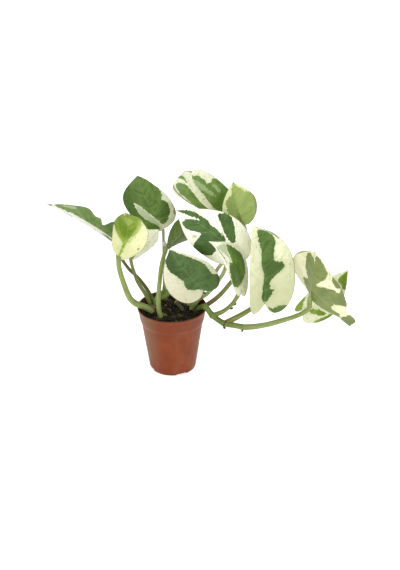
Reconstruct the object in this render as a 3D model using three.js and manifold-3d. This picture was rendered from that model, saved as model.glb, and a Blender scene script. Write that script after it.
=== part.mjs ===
// A young variegated pothos in a small round plastic nursery pot.
// Millimetres, +Z up. The origin is the middle of the pot's underside, and -Y is the front.
import * as THREE from 'three';
import { mergeVertices } from 'three/addons/utils/BufferGeometryUtils.js';
import Module from 'manifold-3d';

const wasm = await Module();
wasm.setup();
const { Manifold, Mesh: SolidMesh } = wasm;

// Pot
const POT_HEIGHT = 59;
const POT_RIM_RADIUS = 30;
const POT_FOOT_RADIUS = 20.5;
const POT_BAND_HEIGHT = 11.5;
const POT_BAND_TAPER = 2.2;
const POT_LEDGE = 1.2;
const POT_WALL = 1.1;
const POT_SEGMENTS = 40;
const DRAIN_COUNT = 4;
const DRAIN_FIRST_ANGLE = 24;
const DRAIN_WIDTH = 9.6;
const DRAIN_HEIGHT = 2.2;

// Soil
const CLEARANCE = 0.3;
const SOIL_TOP = 55;
const SOIL_CLODS = 30;
const SOIL_SEED = 7;
const ROOT_DEPTH = 12;

// Leaves and stems
const BLADE_THICKNESS = 0.8;
const BLADE_ROWS = 14;
const BLADE_COLUMNS = 3;
const NOTCH_FAN = 0.16;
const EDGE_WAVE = 0.6;
const MIDRIB_ROOT = 6;
const PETIOLE_SIDES = 7;
const PETIOLE_STEPS = 12;
const VINE_RADIUS = 2.4;
const VINE_NODE_RADIUS = 3;

// Each blade is held by its junction with the petiole, its tip and the way its upper face looks.
// arch bows the midrib towards the upper face and sway bows it to the right, at mid length.
// Each half has its greatest width, its lobe behind the junction, its lift from flat in degrees
// at the midrib, what it curls by towards the margin, and where along the blade it is widest.
// A bay is a place along a half's margin, its spread there and its depth, as a share of the width.
// route is the petiole's centre line, from the soil or the vine up to the blade.
const LEAVES = {
  leaf_far_left: {
    junction: [-46, 20, 109], tip: [-107, 28, 142], faces: [0.52, -0.13, 1],
    arch: 4, sway: 0, twist: -5,
    right: { width: 22, lobe: 10, lift: 10, curl: -5, wide: 0.26 },
    left: { width: 22, lobe: 10, lift: 24, curl: -2, wide: 0.31 },
    rightBays: [[0.505, 0.025, -0.6], [0.57, 0.05, -0.42], [0.75, 0.12, -0.08]],
    radius: 1.6,
    route: [[-14.5, 5, 55], [-22, 13, 68], [-31, 15, 80], [-37, 16, 86], [-43, 18, 95], [-45, 20, 105]],
    colour: 0x7e9d62,
  },
  leaf_young_cupped: {
    junction: [-43, -14, 113], tip: [-38, 10, 142], faces: [0.42, -1, 0.79],
    arch: 15, sway: 1, twist: 17,
    right: { width: 18, lobe: 2, lift: 23, curl: 4, wide: 0.39 },
    left: { width: 18, lobe: 0, lift: 30, curl: 11, wide: 0.38 },
    rightBays: [[0.86, 0.09, 0.5]],
    radius: 2.4,
    route: [[-17, -4, 55], [-22, -4, 59], [-30, -5, 63], [-35, -7, 69], [-39, -10, 82], [-43, -13, 102],
      [-43, -14, 109]],
    colour: 0x9bb04a,
  },
  leaf_upper_left: {
    junction: [-7, 14, 125], tip: [-30, 53, 158.5], faces: [0.02, -0.88, 1],
    arch: 10, sway: -4, twist: 3,
    right: { width: 19, lobe: 0, lift: 7, curl: -20, wide: 0.26 },
    left: { width: 23, lobe: 2, lift: 24, curl: 6, wide: 0.38 },
    rightBays: [[0.75, 0.12, -0.12]],
    radius: 1.3,
    route: [[-6, 18.5, 55], [-7, 18, 70], [-7, 17, 93], [-7, 16, 111], [-7, 14, 122]],
    colour: 0x5c8145,
  },
  leaf_front: {
    junction: [26, -14, 82], tip: [0, -33, 128], faces: [0.22, -1, -0.29],
    arch: -2, sway: -2, twist: 12,
    right: { width: 21, lobe: 7, lift: 10, curl: -7, wide: 0.31 },
    left: { width: 22, lobe: 6, lift: 5, curl: 14, wide: 0.27 },
    radius: 1.9,
    route: [[17, 1.5, 55], [21, -4, 65], [25, -10, 76]],
    colour: 0x4d7a40,
  },
  leaf_shaded: {
    junction: [-3, 0, 114], tip: [21, 22, 136], faces: [0.85, -1, 0.04],
    arch: 4, sway: -1, twist: 31,
    right: { width: 17, lobe: 0, lift: -6, curl: -38, wide: 0.44 },
    left: { width: 16, lobe: 0, lift: 15, curl: -25, wide: 0.33 },
    rightBays: [[0.3, 0.13, -0.55], [0.44, 0.06, -0.25]],
    radius: 1.8,
    route: [[-8, -13, 55], [-11, -12, 61], [-11, -10, 75], [-10, -8, 86], [-8, -4, 101], [-5, -1, 111]],
    colour: 0x5f7046,
  },
  leaf_centre: {
    junction: [57, -12, 108], tip: [5, -32, 161], faces: [0.44, -1, 0.05],
    arch: 2, sway: 4, twist: -21,
    right: { width: 22, lobe: 6, lift: -5, curl: -15, wide: 0.27 },
    left: { width: 23, lobe: 0, lift: -17, curl: -32, wide: 0.37 },
    radius: 1.8,
    route: [[15, 10, 55], [28, 2, 75], [39, -4, 96], [43, -7, 103], [51, -8, 107]],
    colour: 0x8cab70,
  },
  leaf_curled: {
    junction: [58, -31, 88], tip: [31, -31, 134], faces: [1, -0.65, 0.6],
    arch: 5, sway: 5, twist: -4,
    right: { width: 17, lobe: 7, lift: 13, curl: -23, wide: 0.33 },
    left: { width: 16, lobe: 0, lift: 22, curl: -25, wide: 0.27 },
    radius: 1.7,
    route: [[35, -14, 57], [43.5, -19, 63.5], [50, -24, 72], [54, -29, 81]],
    colour: 0x55803a,
  },
  leaf_right_tall: {
    junction: [79, -16, 71], tip: [65, -27, 146], faces: [0.56, -1, -0.04],
    arch: -7, sway: 8, twist: -20,
    right: { width: 27, lobe: 11, lift: 9, curl: 1, wide: 0.29 },
    left: { width: 28, lobe: 4, lift: 29, curl: 12, wide: 0.31 },
    rightBays: [[0.33, 0.12, 0.08], [0.78, 0.08, 0.06]],
    radius: 2.1,
    route: [[45, -18, 51.5], [58, -16, 58], [68, -13, 63], [76, -13, 68]],
    colour: 0xbfcf9a,
  },
  leaf_top: {
    junction: [43, 20, 134], tip: [10, 58, 161], faces: [-0.26, -0.95, 1],
    arch: 13, sway: -7, twist: 22,
    right: { width: 23, lobe: 10, lift: 24, curl: 7, wide: 0.35 },
    left: { width: 25, lobe: 9, lift: 39, curl: 26, wide: 0.35 },
    rightBays: [[0.85, 0.09, -0.18]],
    radius: 1.8,
    route: [[19, 12, 55], [31, 10, 66], [41, 9, 80], [46, 9, 91], [46, 14, 110], [44, 20, 127]],
    colour: 0x7ea05c,
  },
  leaf_right_outer: {
    junction: [119, -8, 70], tip: [117, -32, 125], faces: [1, 0.81, 0.38],
    arch: -1, sway: -1, twist: 0,
    right: { width: 28, lobe: 0, lift: 31, curl: -45, wide: 0.42 },
    left: { width: 40, lobe: 5, lift: 8, curl: 18, wide: -0.28 },
    leftBays: [[0.78, 0.07, 0.12], [0.63, 0.035, -0.05], [0.5, 0.07, -0.04]],
    radius: 2.1,
    route: [[61, -20, 49], [70, -19.5, 49.3], [80, -18, 50.2], [92, -15, 52], [105, -12, 54.7],
      [113, -10, 57.7], [117.5, -9, 61.5]],
    colour: 0x8f9e70,
  },
  leaf_cream: {
    junction: [-34, -2, 106], tip: [-10, -7, 134], faces: [0, 1, 0.18],
    arch: 4, sway: -2, twist: 6,
    right: { width: 13, lobe: 6, lift: 12, curl: -10, wide: 0.3 },
    left: { width: 12, lobe: 3, lift: 29, curl: 10, wide: 0.31 },
    radius: 1.5,
    route: [[-18.5, 4, 55], [-22, 4, 66], [-29, 3, 80], [-32, 1, 91], [-34, -2, 103]],
    colour: 0xd8d8c0,
  },
  leaf_right_young: {
    junction: [120, 7, 53], tip: [152, 12, 88], faces: [-0.15, -1, 0.27],
    arch: 4, sway: 2, twist: 18,
    right: { width: 17, lobe: 13, lift: 28, curl: -6, wide: 0.25 },
    left: { width: 15, lobe: 11, lift: 28, curl: -6, wide: 0.3 },
    radius: 1.1,
    route: [[54, -18, 50], [59, -14, 47], [67, -13, 45], [80, -10, 44], [93.5, -5, 45], [105, -1, 47],
      [114, 3, 49]],
    colour: 0xa9bf58,
  },
  leaf_top_young: {
    junction: [60, 8, 132], tip: [51, 2, 172], faces: [-0.35, 1, 0.07],
    arch: 1, sway: 1, twist: 13,
    right: { width: 15, lobe: 7, lift: 2, curl: -26, wide: 0.29 },
    left: { width: 18, lobe: 3, lift: 9, curl: -9, wide: 0.34 },
    radius: 1.7,
    route: [[29, -7, 62.5], [39.5, -4, 69.5], [49, -3, 81], [58, 0, 94], [63, 5, 112], [62, 8, 127]],
    colour: 0x8fa058,
  },
};

// The trailing stem leaves the soil, passes over the rim and carries five leaves.
const VINE_ROUTE = [
  [22.5, 0.5, SOIL_TOP], [25.5, -4, 59.5], [29, -9, 62.5], [35, -14, 57], [45, -18, 51.5], [54, -19, 50],
  [61, -20, 49],
];
const VINE_NODES = [2, 3, 4, 6];

// The old cutting's stub leans in the soil.
const STUB_ROUTE = [[9.5, -1.5, SOIL_TOP], [5, 5, 58], [2, 8, 61]];
const STUB_RADIUS = 1.9;

const vec = (point) => new THREE.Vector3(...point);
const radians = THREE.MathUtils.degToRad;

// Repeatable random numbers from 0 to 1.
function seededRandom(seed) {
  let state = seed;
  return () => {
    state = (state * 1664525 + 1013904223) % 4294967296;
    return state / 4294967296;
  };
}

// Booleans work on solids, meshes on geometries.
function toSolid(geometry) {
  const plain = geometry.clone();
  plain.deleteAttribute('normal');
  plain.deleteAttribute('uv');
  const merged = mergeVertices(plain, 1e-4);
  return new Manifold(new SolidMesh({
    numProp: 3,
    vertProperties: new Float32Array(merged.attributes.position.array),
    triVerts: new Uint32Array(merged.index.array),
  }));
}

function toGeometry(solid) {
  const mesh = solid.getMesh();
  const geometry = new THREE.BufferGeometry();
  geometry.setAttribute('position', new THREE.BufferAttribute(new Float32Array(mesh.vertProperties), 3));
  geometry.setIndex(new THREE.BufferAttribute(new Uint32Array(mesh.triVerts), 1));
  geometry.computeVertexNormals();
  return geometry;
}

// The outer skin of the largest piece: a hollow that fusing seals is filled and a scrap is dropped.
function wholeBody(solid) {
  return solid.decompose().reduce((best, piece) => (piece.volume() > best.volume() ? piece : best));
}

// A round stem of constant thickness along a smooth line through the points.
function tube(points, radius, steps = PETIOLE_STEPS, sides = PETIOLE_SIDES) {
  const section = new THREE.Shape();
  for (let i = 0; i < sides; i += 1) {
    const angle = (2 * Math.PI * i) / sides;
    const [x, y] = [radius * Math.cos(angle), radius * Math.sin(angle)];
    if (i === 0) section.moveTo(x, y);
    else section.lineTo(x, y);
  }
  section.closePath();
  const line = new THREE.CatmullRomCurve3(points, false, 'centripetal');
  return toSolid(new THREE.ExtrudeGeometry(section, { steps, bevelEnabled: false, extrudePath: line }));
}

// The blade's own axes: along the midrib, out to the right half, and out of the upper face.
function bladeFrame(leaf) {
  const junction = vec(leaf.junction);
  const along = vec(leaf.tip).sub(junction);
  const length = along.length();
  along.normalize();
  const up = vec(leaf.faces);
  up.addScaledVector(along, -up.dot(along)).normalize();
  const right = along.clone().cross(up);
  return { junction, along, up, right, length };
}

// Flat margin of one half: a curve from the notch round the lobe to the widest place,
// and a second one on to the tip. t runs from 0 at the notch to 1 at the tip.
function marginPoint(half, bays, length, t) {
  const { width, lobe } = half;
  const widest = half.wide * length;
  const lobeCurve = new THREE.CubicBezierCurve(
    new THREE.Vector2(0, 0),
    new THREE.Vector2(0.12 * width, -1.5 * lobe),
    new THREE.Vector2(width, -1.4 * lobe),
    new THREE.Vector2(width, widest),
  );
  const tipCurve = new THREE.CubicBezierCurve(
    new THREE.Vector2(width, widest),
    new THREE.Vector2(width, widest + 0.45 * (length - widest)),
    new THREE.Vector2(0.3 * width, 0.86 * length),
    new THREE.Vector2(0, length),
  );
  const margin = t < 0.5 ? lobeCurve.getPoint(2 * t) : tipCurve.getPoint(2 * t - 1);
  for (const [place, spread, depth] of bays) {
    margin.x += margin.x * depth * Math.exp(-(((t - place) / spread) ** 2));
  }
  return margin;
}

// Places a flat point of one half in space. x is measured out from the midrib and y along it.
function bladePoint(leaf, frame, side, x, y, wave = 0) {
  const half = side > 0 ? leaf.right : leaf.left;
  const share = y / frame.length;
  const bow = share < 0 ? 4 * share : 4 * share * (1 - share);
  const turn = radians(leaf.twist) * (share - 0.5);
  const out = frame.right.clone().multiplyScalar(Math.cos(turn)).addScaledVector(frame.up, Math.sin(turn));
  const rise = frame.up.clone().multiplyScalar(Math.cos(turn)).addScaledVector(frame.right, -Math.sin(turn));
  const slope = radians(half.lift + (half.curl * x) / half.width / 2);
  return frame.junction.clone()
    .addScaledVector(frame.along, y)
    .addScaledVector(frame.up, bow * leaf.arch)
    .addScaledVector(frame.right, bow * leaf.sway)
    .addScaledVector(out, side * x * Math.cos(slope))
    .addScaledVector(rise, x * Math.sin(slope) + wave);
}

// A blade's middle surface as rows that run like its side veins, from the midrib to the margin.
function bladeSurface(leaf) {
  const frame = bladeFrame(leaf);
  const points = [];
  const triangles = [];
  const seen = new Map();
  const indexOf = (point) => {
    const key = point.toArray().map((value) => Math.round(value * 1000)).join();
    if (!seen.has(key)) {
      seen.set(key, points.length);
      points.push(point);
    }
    return seen.get(key);
  };
  for (const side of [1, -1]) {
    const [half, bays] = side > 0 ? [leaf.right, leaf.rightBays] : [leaf.left, leaf.leftBays];
    const grid = [];
    for (let row = 0; row <= BLADE_ROWS; row += 1) {
      const t = row / BLADE_ROWS;
      const root = frame.length * Math.max(0, (t - NOTCH_FAN) / (1 - NOTCH_FAN)) ** 1.6;
      const margin = marginPoint(half, bays ?? [], frame.length, t);
      const line = [];
      for (let column = 0; column <= BLADE_COLUMNS; column += 1) {
        const share = column / BLADE_COLUMNS;
        const wave = EDGE_WAVE * share ** 2 * Math.sin(9 * t + 2 * side) * Math.sin(Math.PI * t);
        const y = root + (margin.y - root) * share;
        line.push(indexOf(bladePoint(leaf, frame, side, margin.x * share, y, wave)));
      }
      grid.push(line);
    }
    for (let row = 0; row < BLADE_ROWS; row += 1) {
      for (let column = 0; column < BLADE_COLUMNS; column += 1) {
        const [a, b] = [grid[row][column], grid[row][column + 1]];
        const [c, d] = [grid[row + 1][column + 1], grid[row + 1][column]];
        for (const [p, q, r] of [[a, b, c], [a, c, d]]) {
          if (p !== q && q !== r && r !== p) triangles.push(side > 0 ? [p, q, r] : [p, r, q]);
        }
      }
    }
  }
  return { points, triangles };
}

// Gives a surface its thickness, with the same triangles on both faces and a wall round the margin.
function thicken({ points, triangles }, thickness) {
  const normals = points.map(() => new THREE.Vector3());
  for (const [a, b, c] of triangles) {
    const first = points[b].clone().sub(points[a]);
    const normal = first.cross(points[c].clone().sub(points[a]));
    for (const corner of [a, b, c]) normals[corner].add(normal);
  }
  normals.forEach((normal) => normal.normalize());
  const count = points.length;
  const positions = [];
  for (const side of [1, -1]) {
    points.forEach((point, i) => {
      const moved = point.clone().addScaledVector(normals[i], (side * thickness) / 2);
      positions.push(...moved.toArray());
    });
  }
  const edges = new Set(triangles.flatMap(([a, b, c]) => [`${a},${b}`, `${b},${c}`, `${c},${a}`]));
  const index = [];
  for (const [a, b, c] of triangles) {
    index.push(a, b, c, a + count, c + count, b + count);
    for (const [from, to] of [[a, b], [b, c], [c, a]]) {
      if (!edges.has(`${to},${from}`)) {
        index.push(from, from + count, to + count, from, to + count, to);
      }
    }
  }
  const geometry = new THREE.BufferGeometry();
  geometry.setAttribute('position', new THREE.Float32BufferAttribute(positions, 3));
  geometry.setIndex(index);
  return toSolid(geometry);
}

// A point under the midrib, a petiole's radius below the blade and square to its slope there.
function underMidrib(leaf, frame, y) {
  const slope = Math.atan((4 * leaf.arch * (1 - (2 * y) / frame.length)) / frame.length);
  return bladePoint(leaf, frame, 1, 0, y)
    .addScaledVector(frame.up, -leaf.radius * Math.cos(slope))
    .addScaledVector(frame.along, leaf.radius * Math.sin(slope));
}

// The petiole's line: out of the soil, up the route, then under the midrib for a few millimetres.
function petioleLine(leaf) {
  const frame = bladeFrame(leaf);
  const line = leaf.route.map(vec);
  if (inSoil(leaf)) line.unshift(vec(leaf.route[0]).setZ(SOIL_TOP - ROOT_DEPTH));
  line.push(underMidrib(leaf, frame, 0), underMidrib(leaf, frame, MIDRIB_ROOT));
  return line;
}

function inSoil(leaf) {
  return leaf.route[0][2] === SOIL_TOP;
}

function leafSolid(leaf) {
  const blade = thicken(bladeSurface(leaf), BLADE_THICKNESS);
  let solid = blade.add(tube(petioleLine(leaf), leaf.radius));
  if (!inSoil(leaf)) solid = solid.subtract(vineSolid(CLEARANCE));
  return solid;
}

// The trailing stem with its swollen joints, grown all round by a clearance where it cuts others.
function vineSolid(grow = 0) {
  const line = VINE_ROUTE.map(vec);
  line.unshift(vec(VINE_ROUTE[0]).setZ(SOIL_TOP - ROOT_DEPTH));
  const joints = VINE_NODES.map((place) => {
    const joint = new THREE.SphereGeometry(VINE_NODE_RADIUS + grow, 8, 5);
    const centre = VINE_ROUTE[place];
    return toSolid(joint.translate(...centre));
  });
  return joints.reduce((solid, joint) => solid.add(joint), tube(line, VINE_RADIUS + grow, 16, 8));
}

function stubSolid() {
  const line = STUB_ROUTE.map(vec);
  line.unshift(vec(STUB_ROUTE[0]).setZ(SOIL_TOP - ROOT_DEPTH));
  return tube(line, STUB_RADIUS, 8);
}

// Outside radii at the foot of the band under the rim and at the top of the body below it.
const bandStart = POT_HEIGHT - POT_BAND_HEIGHT;
const bandFootRadius = POT_RIM_RADIUS - POT_BAND_TAPER;
const bodyTopRadius = bandFootRadius - POT_LEDGE;

// The pot is turned: floor, tapered body, a wider band under the rim, and the same inside.
function potSolid() {
  const inner = (radius) => radius - POT_WALL;
  const outline = [
    [0, 0], [POT_FOOT_RADIUS - 2, 0], [POT_FOOT_RADIUS - 0.6, 0.5], [POT_FOOT_RADIUS, 1.8],
    [bodyTopRadius, bandStart - 2.4], [bandFootRadius - 0.5, bandStart - 0.8], [bandFootRadius, bandStart],
    [POT_RIM_RADIUS - 0.5, POT_HEIGHT - 1.6], [POT_RIM_RADIUS, POT_HEIGHT - 1.2],
    [POT_RIM_RADIUS, POT_HEIGHT - 0.3], [POT_RIM_RADIUS - 0.4, POT_HEIGHT],
    [inner(POT_RIM_RADIUS), POT_HEIGHT], [inner(POT_RIM_RADIUS - 0.3), POT_HEIGHT - 1],
    [inner(bandFootRadius), bandStart + 0.6], [inner(bodyTopRadius), bandStart - 1.4],
    [inner(POT_FOOT_RADIUS), 2.4], [inner(POT_FOOT_RADIUS - 1.2), POT_WALL], [0, POT_WALL],
  ];
  const turned = new THREE.LatheGeometry(outline.map(([x, y]) => new THREE.Vector2(x, y)), POT_SEGMENTS);
  let pot = toSolid(turned.rotateX(Math.PI / 2));
  for (let i = 0; i < DRAIN_COUNT; i += 1) {
    const angle = radians(DRAIN_FIRST_ANGLE + (i * 360) / DRAIN_COUNT);
    const slot = new THREE.BoxGeometry(DRAIN_WIDTH, 5, 2 * DRAIN_HEIGHT);
    slot.translate(0, -POT_FOOT_RADIUS, 0).rotateZ(angle);
    pot = pot.subtract(toSolid(slot));
  }
  return pot;
}

// The soil fills the pot with its clearance. Small clods are sunk in its top, and every stem that
// stands in it has a plain hole.
function soilSolid() {
  const inner = (radius) => radius - POT_WALL - CLEARANCE;
  const taper = (POT_RIM_RADIUS - 0.5 - bandFootRadius) / (POT_BAND_HEIGHT - 1.6);
  const topRadius = inner(bandFootRadius) + taper * (SOIL_TOP - bandStart - 2.1);
  const outline = [
    [0, POT_WALL + CLEARANCE], [inner(POT_FOOT_RADIUS - 1.4), POT_WALL + CLEARANCE],
    [inner(POT_FOOT_RADIUS), 3], [inner(bodyTopRadius), bandStart - 1.2],
    [inner(bandFootRadius), bandStart + 1.2], [topRadius, SOIL_TOP - 1.5], [topRadius - 2, SOIL_TOP - 0.6],
    [topRadius - 6, SOIL_TOP], [0, SOIL_TOP],
  ];
  const turned = new THREE.LatheGeometry(outline.map(([x, y]) => new THREE.Vector2(x, y)), 28);
  let soil = toSolid(turned.rotateX(Math.PI / 2));
  const random = seededRandom(SOIL_SEED);
  for (let i = 0; i < SOIL_CLODS; i += 1) {
    const size = 1.1 + 1.3 * random();
    const reach = 22 * Math.sqrt(random());
    const angle = 2 * Math.PI * random();
    const clod = new THREE.IcosahedronGeometry(size, 0);
    clod.rotateX(3 * random()).rotateZ(3 * random()).scale(1.3, 1, 0.8);
    clod.translate(reach * Math.cos(angle), reach * Math.sin(angle), SOIL_TOP - 0.2 * size);
    soil = soil.add(toSolid(clod));
  }
  for (const leaf of Object.values(LEAVES).filter(inSoil)) {
    const line = petioleLine(leaf);
    soil = soil.subtract(tube(line, leaf.radius + CLEARANCE)).subtract(socket(line[0], leaf.radius));
  }
  soil = soil.subtract(vineSolid(CLEARANCE)).subtract(socket(vec(VINE_ROUTE[0]), VINE_RADIUS));
  const stub = STUB_ROUTE.map(vec);
  stub.unshift(vec(STUB_ROUTE[0]).setZ(SOIL_TOP - ROOT_DEPTH));
  return soil.subtract(tube(stub, STUB_RADIUS + CLEARANCE, 8)).subtract(socket(stub[0], STUB_RADIUS));
}

// The foot of a hole, a little deeper than the stem that stands in it.
function socket(place, radius) {
  const hole = new THREE.CylinderGeometry(radius + CLEARANCE, radius + CLEARANCE, 3, PETIOLE_SIDES);
  const depth = SOIL_TOP - ROOT_DEPTH - CLEARANCE + 1.5;
  return toSolid(hole.rotateX(Math.PI / 2).translate(place.x, place.y, depth));
}

const plant = new THREE.Group();

function addPiece(name, solid, colour, roughness) {
  const material = new THREE.MeshStandardMaterial({ color: colour, roughness, metalness: 0 });
  const mesh = new THREE.Mesh(toGeometry(wholeBody(solid.simplify(0.01))), material);
  mesh.name = name;
  plant.add(mesh);
}

addPiece('pot', potSolid(), 0x9c5a3c, 0.45);
addPiece('soil', soilSolid(), 0x1d1510, 0.95);
addPiece('vine_stem', vineSolid(), 0x8aa05c, 0.5);
addPiece('cut_stub', stubSolid(), 0xa08a5a, 0.7);
for (const [name, leaf] of Object.entries(LEAVES)) {
  addPiece(name, leafSolid(leaf), leaf.colour, 0.5);
}

export default plant;
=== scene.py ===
import math

import bmesh
import bpy
import numpy as np
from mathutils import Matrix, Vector


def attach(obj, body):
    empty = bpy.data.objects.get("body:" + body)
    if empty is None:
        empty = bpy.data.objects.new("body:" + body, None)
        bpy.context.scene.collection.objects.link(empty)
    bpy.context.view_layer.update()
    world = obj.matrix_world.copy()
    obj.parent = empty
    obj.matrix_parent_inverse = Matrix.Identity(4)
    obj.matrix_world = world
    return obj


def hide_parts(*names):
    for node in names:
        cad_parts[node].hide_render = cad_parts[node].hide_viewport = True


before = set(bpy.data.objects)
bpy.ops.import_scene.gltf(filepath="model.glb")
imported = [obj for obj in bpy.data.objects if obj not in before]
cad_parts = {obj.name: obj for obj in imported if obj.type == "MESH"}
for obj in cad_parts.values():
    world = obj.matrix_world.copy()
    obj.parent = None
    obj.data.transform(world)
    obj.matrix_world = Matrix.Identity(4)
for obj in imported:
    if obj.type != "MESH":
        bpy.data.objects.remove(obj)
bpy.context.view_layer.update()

MM = 0.001
BODY = "root"
WHITE = (1, 1, 1, 1)

# The photograph's camera
VIEW_TARGET = (24.2, 0, 79)
VIEW_DISTANCE = 800
VIEW_ELEVATION = 27
SENSOR_WIDTH = 36
IMAGE_WIDTH = 400
FOCAL_PIXELS = 935
CLIP_METRES = 20

# The room: each light's place in metres, its size in metres and its power in watts
LIGHTS = {
    "window": ((-0.85, -0.55, 0.75), 0.6, 1.5),
    "overhead": ((0.15, -0.1, 1.25), 0.8, 2.0),
    "fill": ((0.8, -0.9, 0.5), 0.9, 1.6),
    "front": ((0.1, -1.25, 0.55), 0.7, 2.4),
}
SKY_STRENGTH = 0.9
FLOOR_REACH = 4000
FLOOR_DEPTH = 0.05
FLOOR_GLOW = 0.5

# The pot: a tapered body, a ledge, and a wider band up to the rolled lip
POT_HEIGHT = 59
POT_RIM_RADIUS = 30
POT_FOOT_RADIUS = 20.5
POT_BAND_HEIGHT = 11.5
POT_BAND_TAPER = 2.2
POT_LEDGE = 1.2
POT_WALL = 1.1
POT_COLUMNS = 180
LEDGE_HEIGHT = 3.4
LEDGE_DRAFT = 0.55
CURVE_POINTS = 9
OUTLINE_SPACING = 2.5
SHARP_ANGLE = 40
DRAIN_COUNT = 4
DRAIN_FIRST_ANGLE = 24
DRAIN_WIDTH = 9.6
DRAIN_DEPTH = 5
DRAIN_HEIGHT = 2.2
BAND_START = POT_HEIGHT - POT_BAND_HEIGHT
BAND_FOOT_RADIUS = POT_RIM_RADIUS - POT_BAND_TAPER
BODY_TOP_RADIUS = BAND_FOOT_RADIUS - POT_LEDGE

# The soil: its face lies under its top by the sink, and falls further towards the wall. Lumps are
# their height, their size and their octaves of noise.
SOIL_TOP = 55
SOIL_GAP = 0.3
SOIL_RINGS = 69
SOIL_COLUMNS = 220
SOIL_SINK = 0.4
SOIL_FALL = 1.1
COARSE_LUMPS = (0.7, 7, 4)
FINE_LUMPS = (0.5, 2.6, 3)
ROOT_DEPTH = 12
PEAT_SEED = 7
STREWN_REACH = 26.5
CRUMB_ROWS = 6
CRUMB_COLUMNS = 8
CRUMB_SHARES = (0.7, 1.3)
CRUMB_ROUGHNESS = 0.28
CRUMB_LIES = (-0.3, 0.25)

# The blades: heights are above the flat blade, and columns are counted on one half of one face.
# FAR_OUTSIDE is how far inside a marking a place is where the leaf has no such marking.
BLADE_THICKNESS = 0.45
BLADE_ROWS = 96
BLADE_COLUMNS = 26
NOTCH_FAN = 0.16
FAN_POWER = 1.6
VEINS_A_SIDE = 9
VEIN_SWEEP = 0.55
QUILT_HEIGHT = 0.11
EDGE_WAVE = 0.6
EDGE_RIPPLE = 0.25
GROOVE_DEPTH = 0.22
RIB_HEIGHT = 0.75
FAR_OUTSIDE = -50.0

# The stalks and the trailing stem. A stalk ends under the midrib: each of its last points is a
# distance along the midrib and a depth under it, in radii of the stalk. A joint of the trailing stem
# spreads over a share of its length, and a ring is its depth, its place past the joint and its spread.
STALK_SIDES = 20
STALK_STATIONS = 70
BAR_RADIUS = 3
STALK_END = [(0, 0.95), (5, 0.9), (12, 0.6)]
JOINED_DEPTH = 1.8
VINE_RADIUS = 2.4
VINE_NODE_RADIUS = 3
VINE_NODE_SPREAD = 0.028
VINE_RING = (0.1, 0.03, 0.006)
VINE_STATIONS = 150
VINE_MEASURES = 400
STUB_RADIUS = 1.9
STUB_STATIONS = 40
CUT_END_STATIONS = 16
POD_STATIONS = 24

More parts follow.
